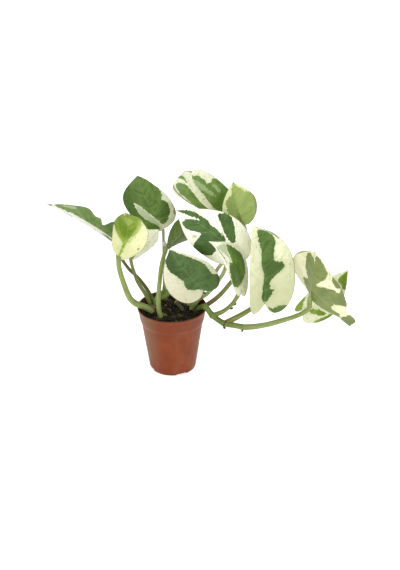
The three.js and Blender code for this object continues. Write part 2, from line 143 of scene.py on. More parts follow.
# A leaf's midrib runs from its junction to its tip, and its upper face looks the way that faces says.
# The midrib bows by arch out of that face and by sway to the right, and the blade is twisted by
# degrees from end to end. Each half of a blade is its greatest width, its lobe behind the junction,
# its lift from flat in degrees at the midrib, what it curls by towards the margin, and where along it
# is widest. A bay is a place along the margin, its spread there and its depth, as a share out from
# the midrib. The route is the stalk's line from the soil or the vine, and the radius is the stalk's.
# green, pale, shade and dark are the outlines of the markings on the flattened blade: out to the
# right of the midrib, then along it from the junction. pale is grey-green. shade is painted shade
# where folds, curls and other leaves shade the blade, and in places a deeper green. dark is browned,
# and on some blades a painted shadow line along a fold or a curled edge. Where a marking reaches the
# margin its outline passes it.
LEAVES = {
    "leaf_far_left": dict(
        junction=(-46, 20, 109), tip=(-107, 28, 142), faces=(0.52, -0.13, 1), arch=4, sway=0, twist=-5,
        right=(22, 10, 10, -5, 0.26), left=(22, 10, 24, -2, 0.31), radius=1.6,
        right_bays=[(0.505, 0.025, -0.6), (0.57, 0.05, -0.42), (0.75, 0.12, -0.08)],
        route=[(-14.5, 5, 55), (-22, 13, 68), (-31, 15, 80), (-37, 16, 86), (-43, 18, 95), (-45, 20, 105)],
        blade="sage", stalk="deep",
        green=[[(1, 66), (12, 57), (24, 44), (20, 36), (14.5, 29.5), (12, 24), (14, 18), (25, 20), (27, 8),
                (18, -14), (4, -10), (0, 0), (-1, 12), (0, 30), (1, 50)],
               [(-7, 4), (-15, 0), (-19, 8), (-14, 17), (-8, 14)]],
        pale=[[(4, 60), (9, 54), (12, 47), (9, 44), (5, 52)]],
        shade=[[(8, 22), (14, 16), (28, 20), (27, 0), (18, -14), (6, -8), (6, 10)]],
        dark=[[(1, 70), (3, 66), (0, 64), (-4, 66)],
              [(-12, 54), (-10.5, 52), (-15, 43), (-18, 44)],
              [(-23, 26), (-20.5, 25), (-20, 12), (-24, 12)]],
    ),
    "leaf_young_cupped": dict(
        junction=(-43, -14, 113), tip=(-38, 10, 142), faces=(0.42, -1, 0.79), arch=15, sway=1, twist=17,
        right=(18, 2, 23, 4, 0.39), left=(18, 0, 30, 11, 0.38), radius=2.4,
        right_bays=[(0.86, 0.09, 0.5)],
        route=[(-17, -4, 55), (-22, -4, 59), (-30, -5, 63), (-35, -7, 69), (-39, -10, 82),
               (-43, -13, 102), (-43, -14, 109)],
        blade="lime", stalk="fresh",
        green=[[(0, -2), (1.4, 4), (1.7, 10), (8, 19), (9.5, 26.5), (14, 32), (8, 38), (2, 37), (-1, 35),
                (-3, 31), (-4, 36), (-10, 37), (-18, 30), (-19, 22), (-13.5, 14), (-2, 9.5), (-1, 5)]],
        pale=[[(-4, 31.5), (5, 29), (3, 24), (-1, 21.5), (-4, 26)],
              [(9.3, 31), (11.6, 26.5), (11.2, 22.5), (8.6, 18), (4.8, 11.5), (2.8, 9), (3.4, 12.5),
               (5.6, 18.5), (8.8, 24.5)]],
        shade=[[(-4, 12), (2, 12), (6, 20), (0, 21), (-6, 26), (-12, 30), (-12, 18)]],
        dark=[[(12.2, 5.2), (13.8, 5.2), (13.8, 6.8), (12.2, 6.8)]],
    ),
    "leaf_upper_left": dict(
        junction=(-7, 14, 125), tip=(-30, 53, 158.5), faces=(0.02, -0.88, 1), arch=10, sway=-4, twist=3,
        right=(19, 0, 7, -20, 0.26), left=(23, 2, 24, 6, 0.38), radius=1.3,
        right_bays=[(0.75, 0.12, -0.12)],
        route=[(-6, 18.5, 55), (-7, 18, 70), (-7, 17, 93), (-7, 16, 111), (-7, 14, 122)],
        blade="dark", stalk="dry",
        green=[[(0, 61), (-12, 52), (-22, 42), (-28, 28), (-27, 12), (-22, 0), (-12, -3), (-4, 0),
                (-1, 1.5), (-6, 6), (-11.5, 10.5), (-13.8, 15), (-13.6, 21), (-13.5, 26), (-10.5, 23.3),
                (-7.5, 19.2), (-3.5, 13.5), (0, 8.5), (2, 2), (8, 5), (12, 9), (15, 13), (15.5, 17),
                (13, 20), (11.5, 21.5), (13.5, 25), (14.5, 31), (12.5, 38), (7, 46), (2, 54)]],
        pale=[[(-12.6, 23.6), (-10, 21), (-7, 16.6), (-3.6, 11), (-1, 6.5), (-1, 2), (-6, 6),
               (-11.5, 10.5), (-13.6, 15), (-13, 20)]],
        shade=[[(-8, 50), (-11, 40), (-12.5, 28), (-14, 16), (-20, 10), (-28, 20), (-25, 40), (-14, 52)],
               [(2, 2), (8, 5), (13, 9), (16, 13), (15.5, 18), (12, 20), (7, 16), (3, 9)]],
        dark=[[(18.5, 21), (21, 22), (21, 9), (15.6, 6), (15, 8.4), (18, 11.6), (18.7, 16.5)]],
    ),
    "leaf_front": dict(
        junction=(26, -14, 82), tip=(0, -33, 128), faces=(0.22, -1, -0.29), arch=-2, sway=-2, twist=12,
        right=(21, 7, 10, -7, 0.31), left=(22, 6, 5, 14, 0.27), radius=1.9,
        route=[(17, 1.5, 55), (21, -4, 65), (25, -10, 76)],
        blade="deep", stalk="fresh",
        green=[[(0, 57), (4, 48.5), (10.5, 39.8), (15, 31.5), (17.3, 24), (17.3, 15), (15.5, 10.5),
                (18, 7.5), (25, 4), (23, -7), (12, -13), (5, -9), (0, -1), (-3, 3.5), (-7, 4.5),
                (-9.5, 10.5), (-6.5, 17.5), (-8.5, 28.5), (-10.5, 34), (-10, 40), (-9, 45.5),
                (-6.5, 49.5)]],
        shade=[[(-3, 56), (0, 52), (-3, 34), (-5, 20), (-12, 16), (-12, 46)],
               [(18, 6), (28, 4), (20, -10), (12, -12), (14, 2)]],
    ),
    "leaf_shaded": dict(
        junction=(-3, 0, 114), tip=(21, 22, 136), faces=(0.85, -1, 0.04), arch=4, sway=-1, twist=31,
        right=(17, 0, -6, -38, 0.44), left=(16, 0, 15, -25, 0.33), radius=1.8,
        right_bays=[(0.3, 0.13, -0.55), (0.44, 0.06, -0.25)],
        route=[(-9.4, -12.7, 55), (-11, -12, 61), (-11, -10, 75), (-10, -8, 86), (-8, -4, 101),
               (-5, -1, 111)],
        blade="olive", stalk="fresh",
        green=[[(-24, -12), (24, -12), (24, 30), (12, 44), (-14, 44), (-24, 26)]],
        shade=[[(2, -4), (2, 6), (9, 14), (14, 24), (24, 24), (24, -8)]],
    ),
    "leaf_centre": dict(
        junction=(57, -12, 108), tip=(5, -32, 161), faces=(0.44, -1, 0.05), arch=2, sway=4, twist=-21,
        right=(22, 6, -5, -15, 0.27), left=(23, 0, -17, -32, 0.37), radius=1.8,
        route=[(15, 10, 55), (28, 2, 75), (39, -4, 96), (43, -7, 103), (51, -8, 107)],
        blade="bright", stalk="light",
        green=[[(0, 79), (3.5, 70), (5.6, 66), (6.2, 62), (6.4, 57), (6, 52), (3, 53), (2.6, 57.5),
                (1.5, 64.5), (0.5, 70)],
               [(-7.5, 65), (-4.5, 66), (-2, 64.5), (1, 59.5), (2, 54), (5, 55.5), (6.5, 53), (5, 47.5),
                (4, 41), (4.5, 32.5), (3.5, 22), (-2, 28), (-6, 32), (-7, 28), (-7.5, 24.5), (-13, 20.5),
                (-20, 21.5), (-24, 28), (-23, 34), (-20, 39), (-14.5, 42.5), (-10, 43.5), (-6.5, 44.5),
                (-6.5, 48), (-8.5, 52), (-10, 59)],
               [(13.5, 43.5), (15.5, 44), (18.5, 39.5), (20, 35.5), (19.5, 31), (16.5, 25.5), (9.5, 18),
                (6, 14.5), (4.5, 18.5), (4.5, 25), (7, 30.5), (10.5, 37.5)]],
        pale=[[(4.5, 33), (5.8, 31.5), (4.8, 28.5), (3, 30)],
              [(-12, 50), (-9.5, 47), (-12, 44.5), (-14, 47)]],
        shade=[[(-9, 35), (-6.5, 31), (-7.5, 22), (-14, 18.5), (-24, 23), (-26, 32), (-18, 34)]],
    ),
    "leaf_curled": dict(
        junction=(58, -31, 88), tip=(31, -31, 134), faces=(1, -0.65, 0.6), arch=5, sway=5, twist=-4,
        right=(17, 7, 13, -23, 0.33), left=(16, 0, 22, -25, 0.27), radius=1.85,
        route=[(35, -14, 57), (43.5, -19, 63.5), (50, -24, 72), (54, -29, 81)],
        blade="dark", stalk="olive",
        green=[[(7.5, 41.5), (9.5, 37.5), (12.3, 29), (13.6, 21.5), (11.5, 13), (6.5, 8.5), (0, 5),
                (-6, 7.5), (-12.5, 11.5), (-16, 15.5), (-14.2, 20.5), (-12, 25.5), (-6.5, 29.8),
                (-2.5, 28), (0, 25), (1.5, 31), (3, 37.5)]],
        pale=[[(1, 46), (6.5, 42.5), (7, 40), (3, 38), (1.5, 32), (0, 27), (-1.2, 35), (-2.2, 42)]],
        shade=[[(0, 26), (-12, 25), (-16, 16), (-6, 8), (0, 6), (4, 12), (3, 22)],
               [(6, 38), (9, 36), (13, 26), (13, 18), (10, 14), (9, 24)]],
        dark=[[(-1.6, 1), (1, 1.6), (1, -1), (-1, -1.4)],
              [(-0.8, 46.6), (-4.5, 43.4), (-7, 37), (-9, 31.5), (-8.1, 31.5), (-6.2, 36.5), (-3.8, 42.4),
               (-0.4, 45.6)]],
    ),
    "leaf_right_tall": dict(
        junction=(79, -16, 71), tip=(65, -27, 146), faces=(0.56, -1, -0.04), arch=-7, sway=8, twist=-20,
        right=(27, 11, 9, 1, 0.29), left=(28, 4, 29, 12, 0.31), radius=2.1,
        right_bays=[(0.33, 0.12, 0.08), (0.78, 0.08, 0.06)],
        route=[(45, -18, 51.5), (58, -16, 58), (68, -13, 63), (76, -13, 68)],
        blade="dappled", stalk="russet",
        green=[[(2.5, 70), (8, 65.5), (13, 58.5), (15, 51), (12.5, 45), (10.5, 36), (10, 30), (13.5, 30.5),
                (18.5, 27.5), (18.5, 23), (13, 20), (7, 17), (4, 13.5), (5, 9.3), (9.3, 8), (6.5, 5.2),
                (4.5, 3), (2.5, 0), (-1, 0), (-5.2, 4.5), (-4.3, 10), (-1, 18), (0, 24), (-2.8, 32),
                (0, 37), (0.5, 46), (0.8, 58)],
               [(2, -3.4), (6, -6.4), (9, -5.8), (14, -5), (21, -7), (17, -12), (11, -12), (5, -8.5)]],
        shade=[[(2, 14), (9, 8), (5, 4), (3, 0), (0.5, 2), (1, 8)],
               [(0, 34), (9, 33), (18, 28), (18, 22), (4, 14), (1, 20)],
               [(-4, 9), (-1, 17), (1, 14), (0, 6), (-4, 4)]],
        dark=[[(2, 76), (8, 70), (14, 61), (19, 50), (18, 50), (12.6, 60.5), (6.6, 68.5), (1.4, 74)]],
    ),
    "leaf_top": dict(
        junction=(43, 20, 134), tip=(10, 58, 161), faces=(-0.26, -0.95, 1), arch=13, sway=-7, twist=22,
        right=(23, 10, 24, 7, 0.35), left=(25, 9, 39, 26, 0.35), radius=1.8,
        right_bays=[(0.85, 0.09, -0.18)],
        route=[(19, 12, 55), (31, 10, 66), (41, 9, 80), (46, 9, 91), (46, 14, 110), (44, 20, 127)],
        blade="mid", stalk="light",
        green=[[(-12.5, 41.5), (-10, 42.8), (-6.5, 42.3), (-1.5, 39), (-1, 31.5), (-1.5, 21.5), (-4, 13.5),
                (-3, 7.5), (-12, 8), (-19, 7.5), (-20, 11), (-17, 17), (-15, 22.5), (-16, 27.5), (-15, 33)],
               [(-8, 49.5), (-4.5, 51.8), (-0.5, 51), (0, 38), (-1, 44), (-4.5, 47.5)],
               [(7.5, 41.5), (10, 37.5), (13.5, 33.5), (14.2, 28.5), (13.6, 23.5), (17, 22), (20.5, 24.4),
                (23, 20), (25, 12), (28, 4), (24, -8), (8, -14), (2, -8), (1, 2), (1.2, 7), (2.8, 11),
                (4, 16.5), (5.5, 23.5), (6.5, 33)]],
        pale=[[(5.6, 37), (9, 33.5), (11, 25), (11.6, 17), (11.2, 11), (9, 16), (7, 23.5), (5.4, 30)],
              [(16, 21.3), (18.6, 18), (17.6, 14), (14.5, 12.3), (15.4, 16.5)]],
        shade=[[(-5, 17), (-2, 8), (-12, 7), (-20, 7), (-20, 11), (-11, 15)],
               [(-3, 34), (0, 33), (-2, 20), (-5, 16), (-7, 20)],
               [(3, 12), (9, 8), (14, 2), (14, -10), (2, -8), (1, 4)]],
        dark=[[(1, 56), (5, 53), (9, 46.5), (9.6, 43), (8.6, 43), (7, 47), (3, 52.4)],
              [(-15, 43), (-14, 43), (-17.4, 31), (-18, 18), (-22, 8), (-24, 9), (-20, 32)]],
    ),
    "leaf_right_outer": dict(
        junction=(119, -8, 70), tip=(117, -32, 125), faces=(1, 0.81, 0.38), arch=-1, sway=-1, twist=0,
        right=(28, 0, 31, -45, 0.42), left=(40, 5, 8, 18, -0.28), radius=2.1,
        left_bays=[(0.78, 0.07, 0.12), (0.615, 0.035, -0.09), (0.555, 0.035, 0.11), (0.5, 0.07, -0.06)],
        route=[(61, -20, 49), (70, -19.5, 49.3), (80, -18, 50.2), (92, -15, 52), (105, -12, 54.7),
               (113, -10, 57.7), (117.5, -9, 61.5)],
        blade="moss", stalk="fresh",
        green=[[(14, 46), (14.5, 31.5), (13, 23), (8, 18), (12, 15.5), (16, 13.5), (14, 7), (7, 3),
                (2, -2), (-8, -5), (-18.5, -6.5), (-27, -8), (-29, -5), (-26, -1), (-21.5, -1), (-19, 2),
                (-22.5, 9), (-27.5, 11), (-34, 12), (-36, 20), (-30, 30), (-26.5, 32.5), (-25.5, 28),
                (-23, 25), (-20, 27.5), (-15, 24.5), (-10.5, 25), (-4.5, 20.5), (-3, 23), (-5.5, 27),
                (-8, 31.5), (-11.5, 36), (-13, 40), (-13.5, 44), (-8, 52), (-2, 58), (0, 54), (-0.5, 46.5),
                (2, 49.5), (5.5, 51), (9, 50.5)],
               [(-17, 43.5), (-20.5, 40), (-26, 35), (-24, 30.5), (-20.5, 32.5), (-17.5, 37)],
               [(-28.5, -8.5), (-31.5, -4.5), (-35, 1), (-46, 4), (-46, -12), (-38, -22), (-33, -13)]],
        shade=[[(-18, 42), (-26, 36), (-28, 30), (-22, 31)],
               [(-28, -2), (-34, 0), (-42, -4), (-42, -17), (-32, -14)],
               [(-22, 10), (-34, 12), (-36, 22), (-28, 30), (-24, 24)],
               [(-9, 24), (-16, 23), (-13, 12), (-6, 10)]],
        dark=[[(-23, 37), (-26, 34), (-29, 29), (-34, 14), (-31.5, 14), (-27, 28)],
              [(0, 61), (8, 55), (17, 47), (26, 35), (25, 34.6), (16.4, 45), (8.2, 53.4), (0, 59)]],
    ),
    "leaf_cream": dict(
        junction=(-34, -2, 106), tip=(-10, -7, 134), faces=(0, 1, 0.18), arch=4, sway=-2, twist=6,
        right=(13, 6, 12, -10, 0.3), left=(12, 3, 29, 10, 0.31), radius=1.5,
        route=[(-18.5, 4, 55), (-22, 4, 66), (-29, 3, 80), (-32, 1, 91), (-34, -2, 103)],
        blade="milky", stalk="umber",
        green=[[(2, 0), (4, 6), (3, 12), (0, 9)]],
        pale=[[(-2, 4), (-7, 10), (-5, 18), (-1, 22), (1, 14)]],
    ),
    "leaf_right_young": dict(
        junction=(120, 7, 53), tip=(152, 12, 88), faces=(-0.15, -1, 0.27), arch=4, sway=2, twist=18,
        right=(17, 13, 28, -6, 0.25), left=(15, 11, 28, -6, 0.3), radius=1.1,
        route=[(54, -18, 50), (59, -14, 47), (67, -13, 45), (80, -10, 44), (93.5, -5, 45), (105, -1, 47),
               (114, 3, 49)],
        blade="young", stalk="fresh",
        green=[[(-4, -10), (-3.5, -5), (-6, -3), (-11.5, 2.5), (-15, 8.5), (-19, 10), (-20, -4),
                (-12, -14), (-6, -14)],
               [(1.5, -3.5), (1.5, -0.5), (4, 4), (8.5, 7), (13, 8.4), (12.5, 4), (8, -0.8)],
               [(12, -7.5), (13.8, 3), (15, 11.5), (20, 11), (20, 0), (17, -10)],
               [(-3, 35.5), (0, 47), (4, 45), (9, 36), (9, 33), (4, 34), (0.5, 34.6)]],
        shade=[[(14, -5), (16, 9), (20, 9), (20, -6)],
               [(0, 42), (6, 39), (9, 33), (3, 35)]],
    ),
    "leaf_top_young": dict(
        junction=(60, 8, 132), tip=(51, 2, 172), faces=(-0.35, 1, 0.07), arch=1, sway=1, twist=13,
        right=(15, 7, 2, -26, 0.29), left=(18, 3, 9, -9, 0.34), radius=1.7,
        route=[(29, -7, 62.5), (39.5, -4, 69.5), (49, -3, 81), (58, 0, 94), (63, 5, 112), (62, 8, 127)],
        blade="pear", stalk="russet",
        green=[[(0.2, 41), (1.8, 35), (2.3, 29.8), (6.5, 28.3), (9.7, 24.5), (9, 19.5), (9.5, 12), (8, -4),
                (4, -10), (-6, -6), (-15, -4), (-22, 8), (-21, 22), (-15.5, 24.5), (-13, 26.3), (-11, 29),
                (-8.5, 28), (-6.3, 33), (-2.5, 36.5)]],
        shade=[[(0.5, 38), (2, 30), (7, 28), (9.6, 24), (9, 8), (4, -4), (0.5, 4), (-0.5, 20)]],
        dark=[[(-1, 43), (1, 43), (1, 39.5), (-1, 39.5)],
              [(-15, 24), (-16.8, 11.5), (-14.2, 4), (-15.4, 3.4), (-18.4, 11), (-17, 24)]],
    ),
}

# The trailing stem leaves the soil, passes over the rim and carries five leaves. Its nodes are the
# points of its route where it is swollen. The stub is what is left of the old cutting.
VINE_ROUTE = [(22.5, 0.5, 55), (25.5, -4, 59.5), (29, -9, 62.5), (35, -14, 57), (45, -18, 51.5),
              (54, -19, 50), (61, -20, 49)]
VINE_NODES = [2, 3, 4, 6]
STUB_ROUTE = [(9.5, -1.5, 55), (6, 3, 57.4), (3, 6, 59.6)]

# Small parts of the stems: the line each follows, its half width, its thickness as a share of that,
# and its look. The sheaths wrapped young leaves, and the nubs are air roots that stayed short.
SMALL_PARTS = {
    "sheath_behind": ([(-13.5, 16, 57.5), (-7.5, 14.6, 62), (-1, 15.5, 64.8)], 4.6, 0.16, "sheath"),
    "sheath_upright": ([(-8.3, 16.5, 58), (-7, 15, 65), (-7.2, 16.5, 73)], 2.1, 0.3, "sheath"),
    "sheath_left": ([(-15.3, 1, 58), (-14, -1, 65), (-12.2, 0, 70)], 1.7, 0.3, "sheath"),
    "shoot_at_foot": ([(-9.6, -10, 56.6), (-6.6, -11, 56.2), (-3.2, -11.8, 54.6)], 1.3, 0.9, "deep"),
    "old_node": ([(-18.6, 1, 55.5), (-16.4, 0, 57.5), (-14, 0.5, 56)], 2.3, 0.9, "node"),
    "node_scar": ([(44.4, -17.8, 51.7), (45.4, -18.1, 51.3), (46.4, -18.4, 51)], 3.3, 1, "root"),
    "dry_scale": ([(-8.6, 15, 110), (-6.2, 14.2, 112.2), (-4.2, 15, 110.6)], 1.9, 0.6, "paper"),
    "dry_scale_tip": ([(-6.8, 15.5, 108), (-6, 14.6, 111), (-6.6, 15.5, 115)], 1.3, 0.5, "paper"),
    "nub_at_node": ([(45.2, -18.5, 49.4), (45.1, -18.3, 47.8), (44.9, -18.2, 46)], 1.25, 0.8, "root"),
    "nub_at_end": ([(61, -20, 47.5), (60.4, -20, 46), (59.8, -20, 44)], 1, 0.8, "root"),
    "nub_at_end_small": ([(61.8, -20, 47.4), (62.4, -20, 46.6), (63.4, -20, 46)], 0.7, 0.9, "root"),
    "nub_low": ([(48.4, -20, 67.2), (50.4, -20.3, 66.9), (52.6, -20.4, 68.4)], 0.85, 0.9, "root"),
    "nub_high": ([(51.6, -21.6, 71), (53.2, -21.4, 71.3), (54.8, -21, 73)], 0.85, 0.9, "root"),
    "nub_on_stalk": ([(26.8, -7.6, 75), (28.2, -7, 75), (29.2, -6.6, 74)], 1, 0.8, "root"),
    "nub_on_stalk_low": ([(25, -7, 71.4), (26, -6.6, 72), (26.8, -6.4, 71.2)], 0.7, 0.8, "root"),
}

# The looks of blades: green, lighter green, cream, grey-green, deeper green, and how dulled the cream is.
# Each look is also painted with the light where its blades hang: darker and duller for blades in
# shade, brighter for those in full light. The dulling is painted shade that greys the cream towards
# the stalk and thickens its grey-green clouds.
LEAF_LOOKS = {
    "deep": ((54, 80, 32), (76, 104, 50), (212, 210, 184), (168, 184, 142), (48, 70, 22), 0.35),
    "bright": ((58, 85, 35), (78, 107, 53), (250, 250, 228), (168, 184, 142), (54, 80, 28), 0.08),
    "dark": ((74, 102, 34), (98, 126, 56), (238, 238, 216), (164, 180, 136), (56, 82, 20), 0.6),
    "mid": ((96, 126, 52), (118, 146, 76), (240, 242, 212), (162, 182, 130), (80, 110, 36), 0.2),
    "dappled": ((66, 94, 34), (86, 114, 52), (231, 233, 199), (166, 182, 130), (56, 84, 26), 0.8),
    "sage": ((98, 126, 62), (124, 148, 86), (252, 252, 240), (172, 186, 142), (80, 108, 46), 0.1),
    "lime": ((112, 138, 34), (142, 164, 68), (234, 235, 186), (156, 178, 88), (90, 120, 18), 0.6),
    "young": ((104, 132, 30), (134, 158, 62), (232, 234, 204), (156, 178, 88), (80, 108, 18), 0.3),
    "pear": ((128, 150, 66), (150, 172, 88), (224, 228, 176), (184, 200, 136), (108, 130, 50), 0.3),
    "olive": ((90, 112, 40), (110, 132, 60), (222, 222, 190), (140, 154, 104), (74, 94, 30), 0.5),
    "moss": ((80, 96, 26), (104, 120, 50), (243, 239, 206), (146, 156, 96), (64, 80, 18), 0.2),
    "milky": ((180, 190, 144), (206, 212, 174), (254, 254, 236), (226, 230, 200), (190, 196, 160), 0.3),
}
# The looks of stems: light, dark, brown, and how browned it is, which also sets the painted shade on
# the underside. The light look is fresh painted brighter, a painted light for stalks that hang in
# shade, and the sheath look is painted lighter in the same way.
STALK_LOOKS = {
    "fresh": ((138, 152, 92), (110, 128, 62), (116, 102, 58), 0.22),
    "deep": ((94, 106, 42), (72, 80, 28), (92, 64, 36), 0.6),
    "olive": ((122, 136, 76), (94, 110, 50), (98, 82, 46), 0.35),
    "umber": ((128, 138, 80), (90, 98, 44), (96, 70, 40), 0.6),
    "russet": ((132, 142, 78), (104, 108, 54), (92, 62, 32), 0.65),
    "dry": ((168, 172, 138), (132, 140, 98), (116, 104, 74), 0.3),
    # fresh painted brighter: painted light for stalks that hang in shade
    "light": ((186, 196, 146), (160, 172, 112), (134, 124, 84), 0.15),
    "stub": ((70, 74, 42), (48, 54, 28), (60, 50, 30), 0.5),
    "cut": ((164, 142, 92), (128, 108, 66), (112, 90, 54), 0.4),
    # painted lighter against the shade that falls on the sheaths
    "sheath": ((132, 156, 80), (106, 132, 56), (128, 122, 72), 0.2),
    "node": ((136, 108, 84), (104, 84, 60), (96, 70, 50), 0.5),
    "paper": ((222, 216, 204), (196, 186, 168), (158, 142, 120), 0.3),
    "root": ((54, 46, 30), (36, 32, 20), (48, 36, 22), 0.5),
    "vine": ((110, 130, 64), (80, 102, 40), (86, 74, 38), 0.35),
}
MOIST_PEAT = ((7, 6, 4), (26, 23, 13), (80, 68, 42))
# Brown of dried edges and spots, which also paints shade along curled margins and shadow lines in folds
BROWN_AND_EDGE_SHADE = (98, 94, 60)
SPECK = (132, 120, 88)
UNDERSIDE = (172, 182, 128)
STALK_DOT = (70, 62, 34)

# What is strewn on the soil: how many, their least and greatest half sizes, what each is stretched
# by, the seed, the height over the soil's top, and its dark, brown and tan
STREWN = {
    "peat_crumb": (900, (0.35, 1.25), (1.2, 1, 0.8), 11, -0.4,
                   ((9, 8, 5), (40, 34, 20), (98, 84, 52))),
    "peat_clod": (170, (0.8, 2.1), (1.3, 1, 0.7), 14, -0.4,
                  ((24, 21, 12), (62, 54, 32), (112, 98, 60))),
    "peat_fibre": (150, (0.16, 0.24), (16, 1, 1), 12, -0.4,
                   ((58, 42, 28), (92, 68, 44), (146, 116, 80))),
    "bark_grain": (12, (0.35, 0.7), (1.4, 1, 0.7), 13, 0.2,
                   ((120, 92, 56), (160, 130, 84), (196, 168, 118))),
}


# Small sums on arrays

def unit(v):
    """v divided by its own length."""
    v = np.asarray(v, float)
    return v / np.maximum(np.linalg.norm(v, axis=-1, keepdims=True), 1e-9)


def ease(a, b, x):
    """0 before a, 1 after b, and 3q^2 - 2q^3 between them, where q is the share of the way."""
    q = np.clip((x - a) / (b - a), 0, 1)
    return q * q * (3 - 2 * q)


def bump(x, middle, width):
    """A bell: e to the minus square of the distance from the middle over the width."""
    return np.exp(-(((x - middle) / width) ** 2))


def rough(points, size, seed, octaves=4):
    """Smooth noise, about -1 to 1: at each octave, the product of three sines along seeded
    directions, at half the size and half the height of the octave before."""
    random = np.random.default_rng(seed)
    total = np.zeros(points.shape[:-1])
    for octave in range(octaves):
        waves = unit(random.normal(size=(3, 3))) * (2 * math.pi / size) * 2 ** octave
        starts = random.uniform(0, 2 * math.pi, 3)
        total = total + np.sin(points @ waves.T + starts).prod(-1) / 2 ** octave
    return total


def smooth_line(points, count, steps_a_span=40):
    """A centripetal Catmull-Rom line through the points, as `count` points evenly spaced along it,
    and how far along each is. Between two points it is a cubic whose end slopes come from the
    neighbours, each weighted by the square root of its distance."""
    points = np.asarray(points, float)
    p = np.concatenate([2 * points[:1] - points[1:2], points, 2 * points[-1:] - points[-2:-1]])
    a, b, c, d = p[:-3], p[1:-2], p[2:-1], p[3:]
    ab, bc, cd = (np.sqrt(np.linalg.norm(q, axis=1, keepdims=True)) for q in (b - a, c - b, d - c))
    start = bc * ((b - a) / ab - (c - a) / (ab + bc) + (c - b) / bc)
    end = bc * ((c - b) / bc - (d - b) / (bc + cd) + (d - c) / cd)
    t = np.linspace(0, 1, steps_a_span, endpoint=False)[:, None]
    cubic = b + start * t[:, None] + (3 * (c - b) - 2 * start - end) * t[:, None] ** 2
    cubic = cubic + (2 * (b - c) + start + end) * t[:, None] ** 3
    dense = np.concatenate([cubic.transpose(1, 0, 2).reshape(-1, 3), points[-1:]])
    reach = np.concatenate([[0], np.cumsum(np.linalg.norm(np.diff(dense, axis=0), axis=1))])
    even = np.linspace(0, reach[-1], count)
    return np.stack([np.interp(even, reach, dense[:, k]) for k in range(3)], -1), even


def inside_distance(places, outline):
    """How far each flat place is inside a closed outline, negative outside it: the distance to the
    nearest edge, signed by whether a ray from the place crosses the outline an odd number of times."""
    a = np.asarray(outline, float)
    b = np.roll(a, -1, axis=0)
    edge = b - a
    away = places[:, None] - a
    share = np.clip((away * edge).sum(-1) / (edge ** 2).sum(-1), 0, 1)
    distance = np.linalg.norm(away - share[..., None] * edge, axis=-1).min(1)
    x, y = places[:, :1], places[:, 1:]
    spans = (a[:, 1] > y) != (b[:, 1] > y)
    rise = np.where(edge[:, 1] == 0, 1e-9, edge[:, 1])
    crosses = spans & (x < a[:, 0] + (y - a[:, 1]) * edge[:, 0] / rise)
    return np.where(crosses.sum(1) % 2 == 1, distance, -distance)


def rounded(outline):
    """The outline with each corner cut twice at a quarter of its edges, which rounds it."""
    for _ in range(2):
        a = np.asarray(outline, float)
        b = np.roll(a, -1, axis=0)
        outline = np.stack([0.75 * a + 0.25 * b, 0.25 * a + 0.75 * b], 1).reshape(-1, 2)
    return outline


def round_axis(radius, angle, height):
    """Points round +Z: the radius times the cosine and the sine of the angle, and the height."""
    return np.stack(np.broadcast_arrays(radius * np.cos(angle), radius * np.sin(angle), height), -1)


# Meshes

def grid_faces(rows, columns):
    """Four-cornered faces between neighbouring points of a grid that closes round its columns."""
    r, c = np.meshgrid(np.arange(rows - 1), np.arange(columns), indexing="ij")
    n = (c + 1) % columns
    corners = [r * columns + c, r * columns + n, (r + 1) * columns + n, (r + 1) * columns + c]
    return np.stack(corners, -1).reshape(-1, 4)


def make_mesh(name, points, faces, marks=None, merge=1e-3):
    """A mesh from points in millimetres. marks are vectors that its points carry for the materials.
    Points closer than merge millimetres become one, which closes seams and poles."""
    mesh = bpy.data.meshes.new(name)
    mesh.from_pydata((points.reshape(-1, 3) * MM).tolist(), [], faces.tolist())
    for mark, values in (marks or {}).items():
        attribute = mesh.attributes.new(mark, "FLOAT_VECTOR", "POINT")
        attribute.data.foreach_set("vector", values.astype(np.float32).ravel())
    if merge:
        work = bmesh.new()
        work.from_mesh(mesh)
        bmesh.ops.remove_doubles(work, verts=work.verts, dist=merge * MM)
        work.to_mesh(mesh)
        work.free()
    mesh.shade_smooth()
    return mesh


def add_object(name, data):
    thing = bpy.data.objects.new(name, data)
    bpy.context.scene.collection.objects.link(thing)
    return thing


def add_piece(mesh, material, slot, *nodes):
    """The mesh as a piece of the plant: it rides on the one body and stands for the nodes."""
    piece = add_object(mesh.name, mesh)
    mesh.materials.clear()
    mesh.materials.append(material)
    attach(piece, BODY)
    if nodes:
        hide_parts(*nodes)
    return piece


# Blades

def blade_frame(leaf):
    """The blade's own axes, along the midrib, out of the upper face and out to the right half, with
    its junction and its length."""
    junction = np.array(leaf["junction"], float)
    along = np.array(leaf["tip"], float) - junction
    length = np.linalg.norm(along)
    along = along / length
    up = np.array(leaf["faces"], float)
    up = unit(up - (up @ along) * along)
    return junction, along, up, np.cross(along, up), length


def flat_margin(leaf, key, length, t):
    """Flat margin of one half, t from 0 at the notch to 1 at the tip: one cubic Bezier curve round
    the lobe to the widest place, and a second one on to the tip, with handles at the same shares of
    each half's own sizes. Each bay adds a bell of its depth about its place along the margin."""
    width, lobe, _, _, wide = leaf[key]
    widest = wide * length
    lobe_curve = [(0, 0), (0.12 * width, -1.5 * lobe), (width, -1.4 * lobe), (width, widest)]
    tip_curve = [(width, widest), (width, widest + 0.45 * (length - widest)), (0.3 * width, 0.86 * length),
                 (0, length)]
    curves = np.where((t < 0.5)[:, None, None], np.array(lobe_curve), np.array(tip_curve))
    s = np.where(t < 0.5, 2 * t, 2 * t - 1)
    weights = np.stack([(1 - s) ** 3, 3 * (1 - s) ** 2 * s, 3 * (1 - s) * s ** 2, s ** 3], -1)
    margin = np.einsum("nk,nkd->nd", weights, curves)
    bays = leaf.get(f"{key}_bays", [])
    margin[:, 0] *= 1 + sum(depth * bump(t, place, spread) for place, spread, depth in bays)
    return margin


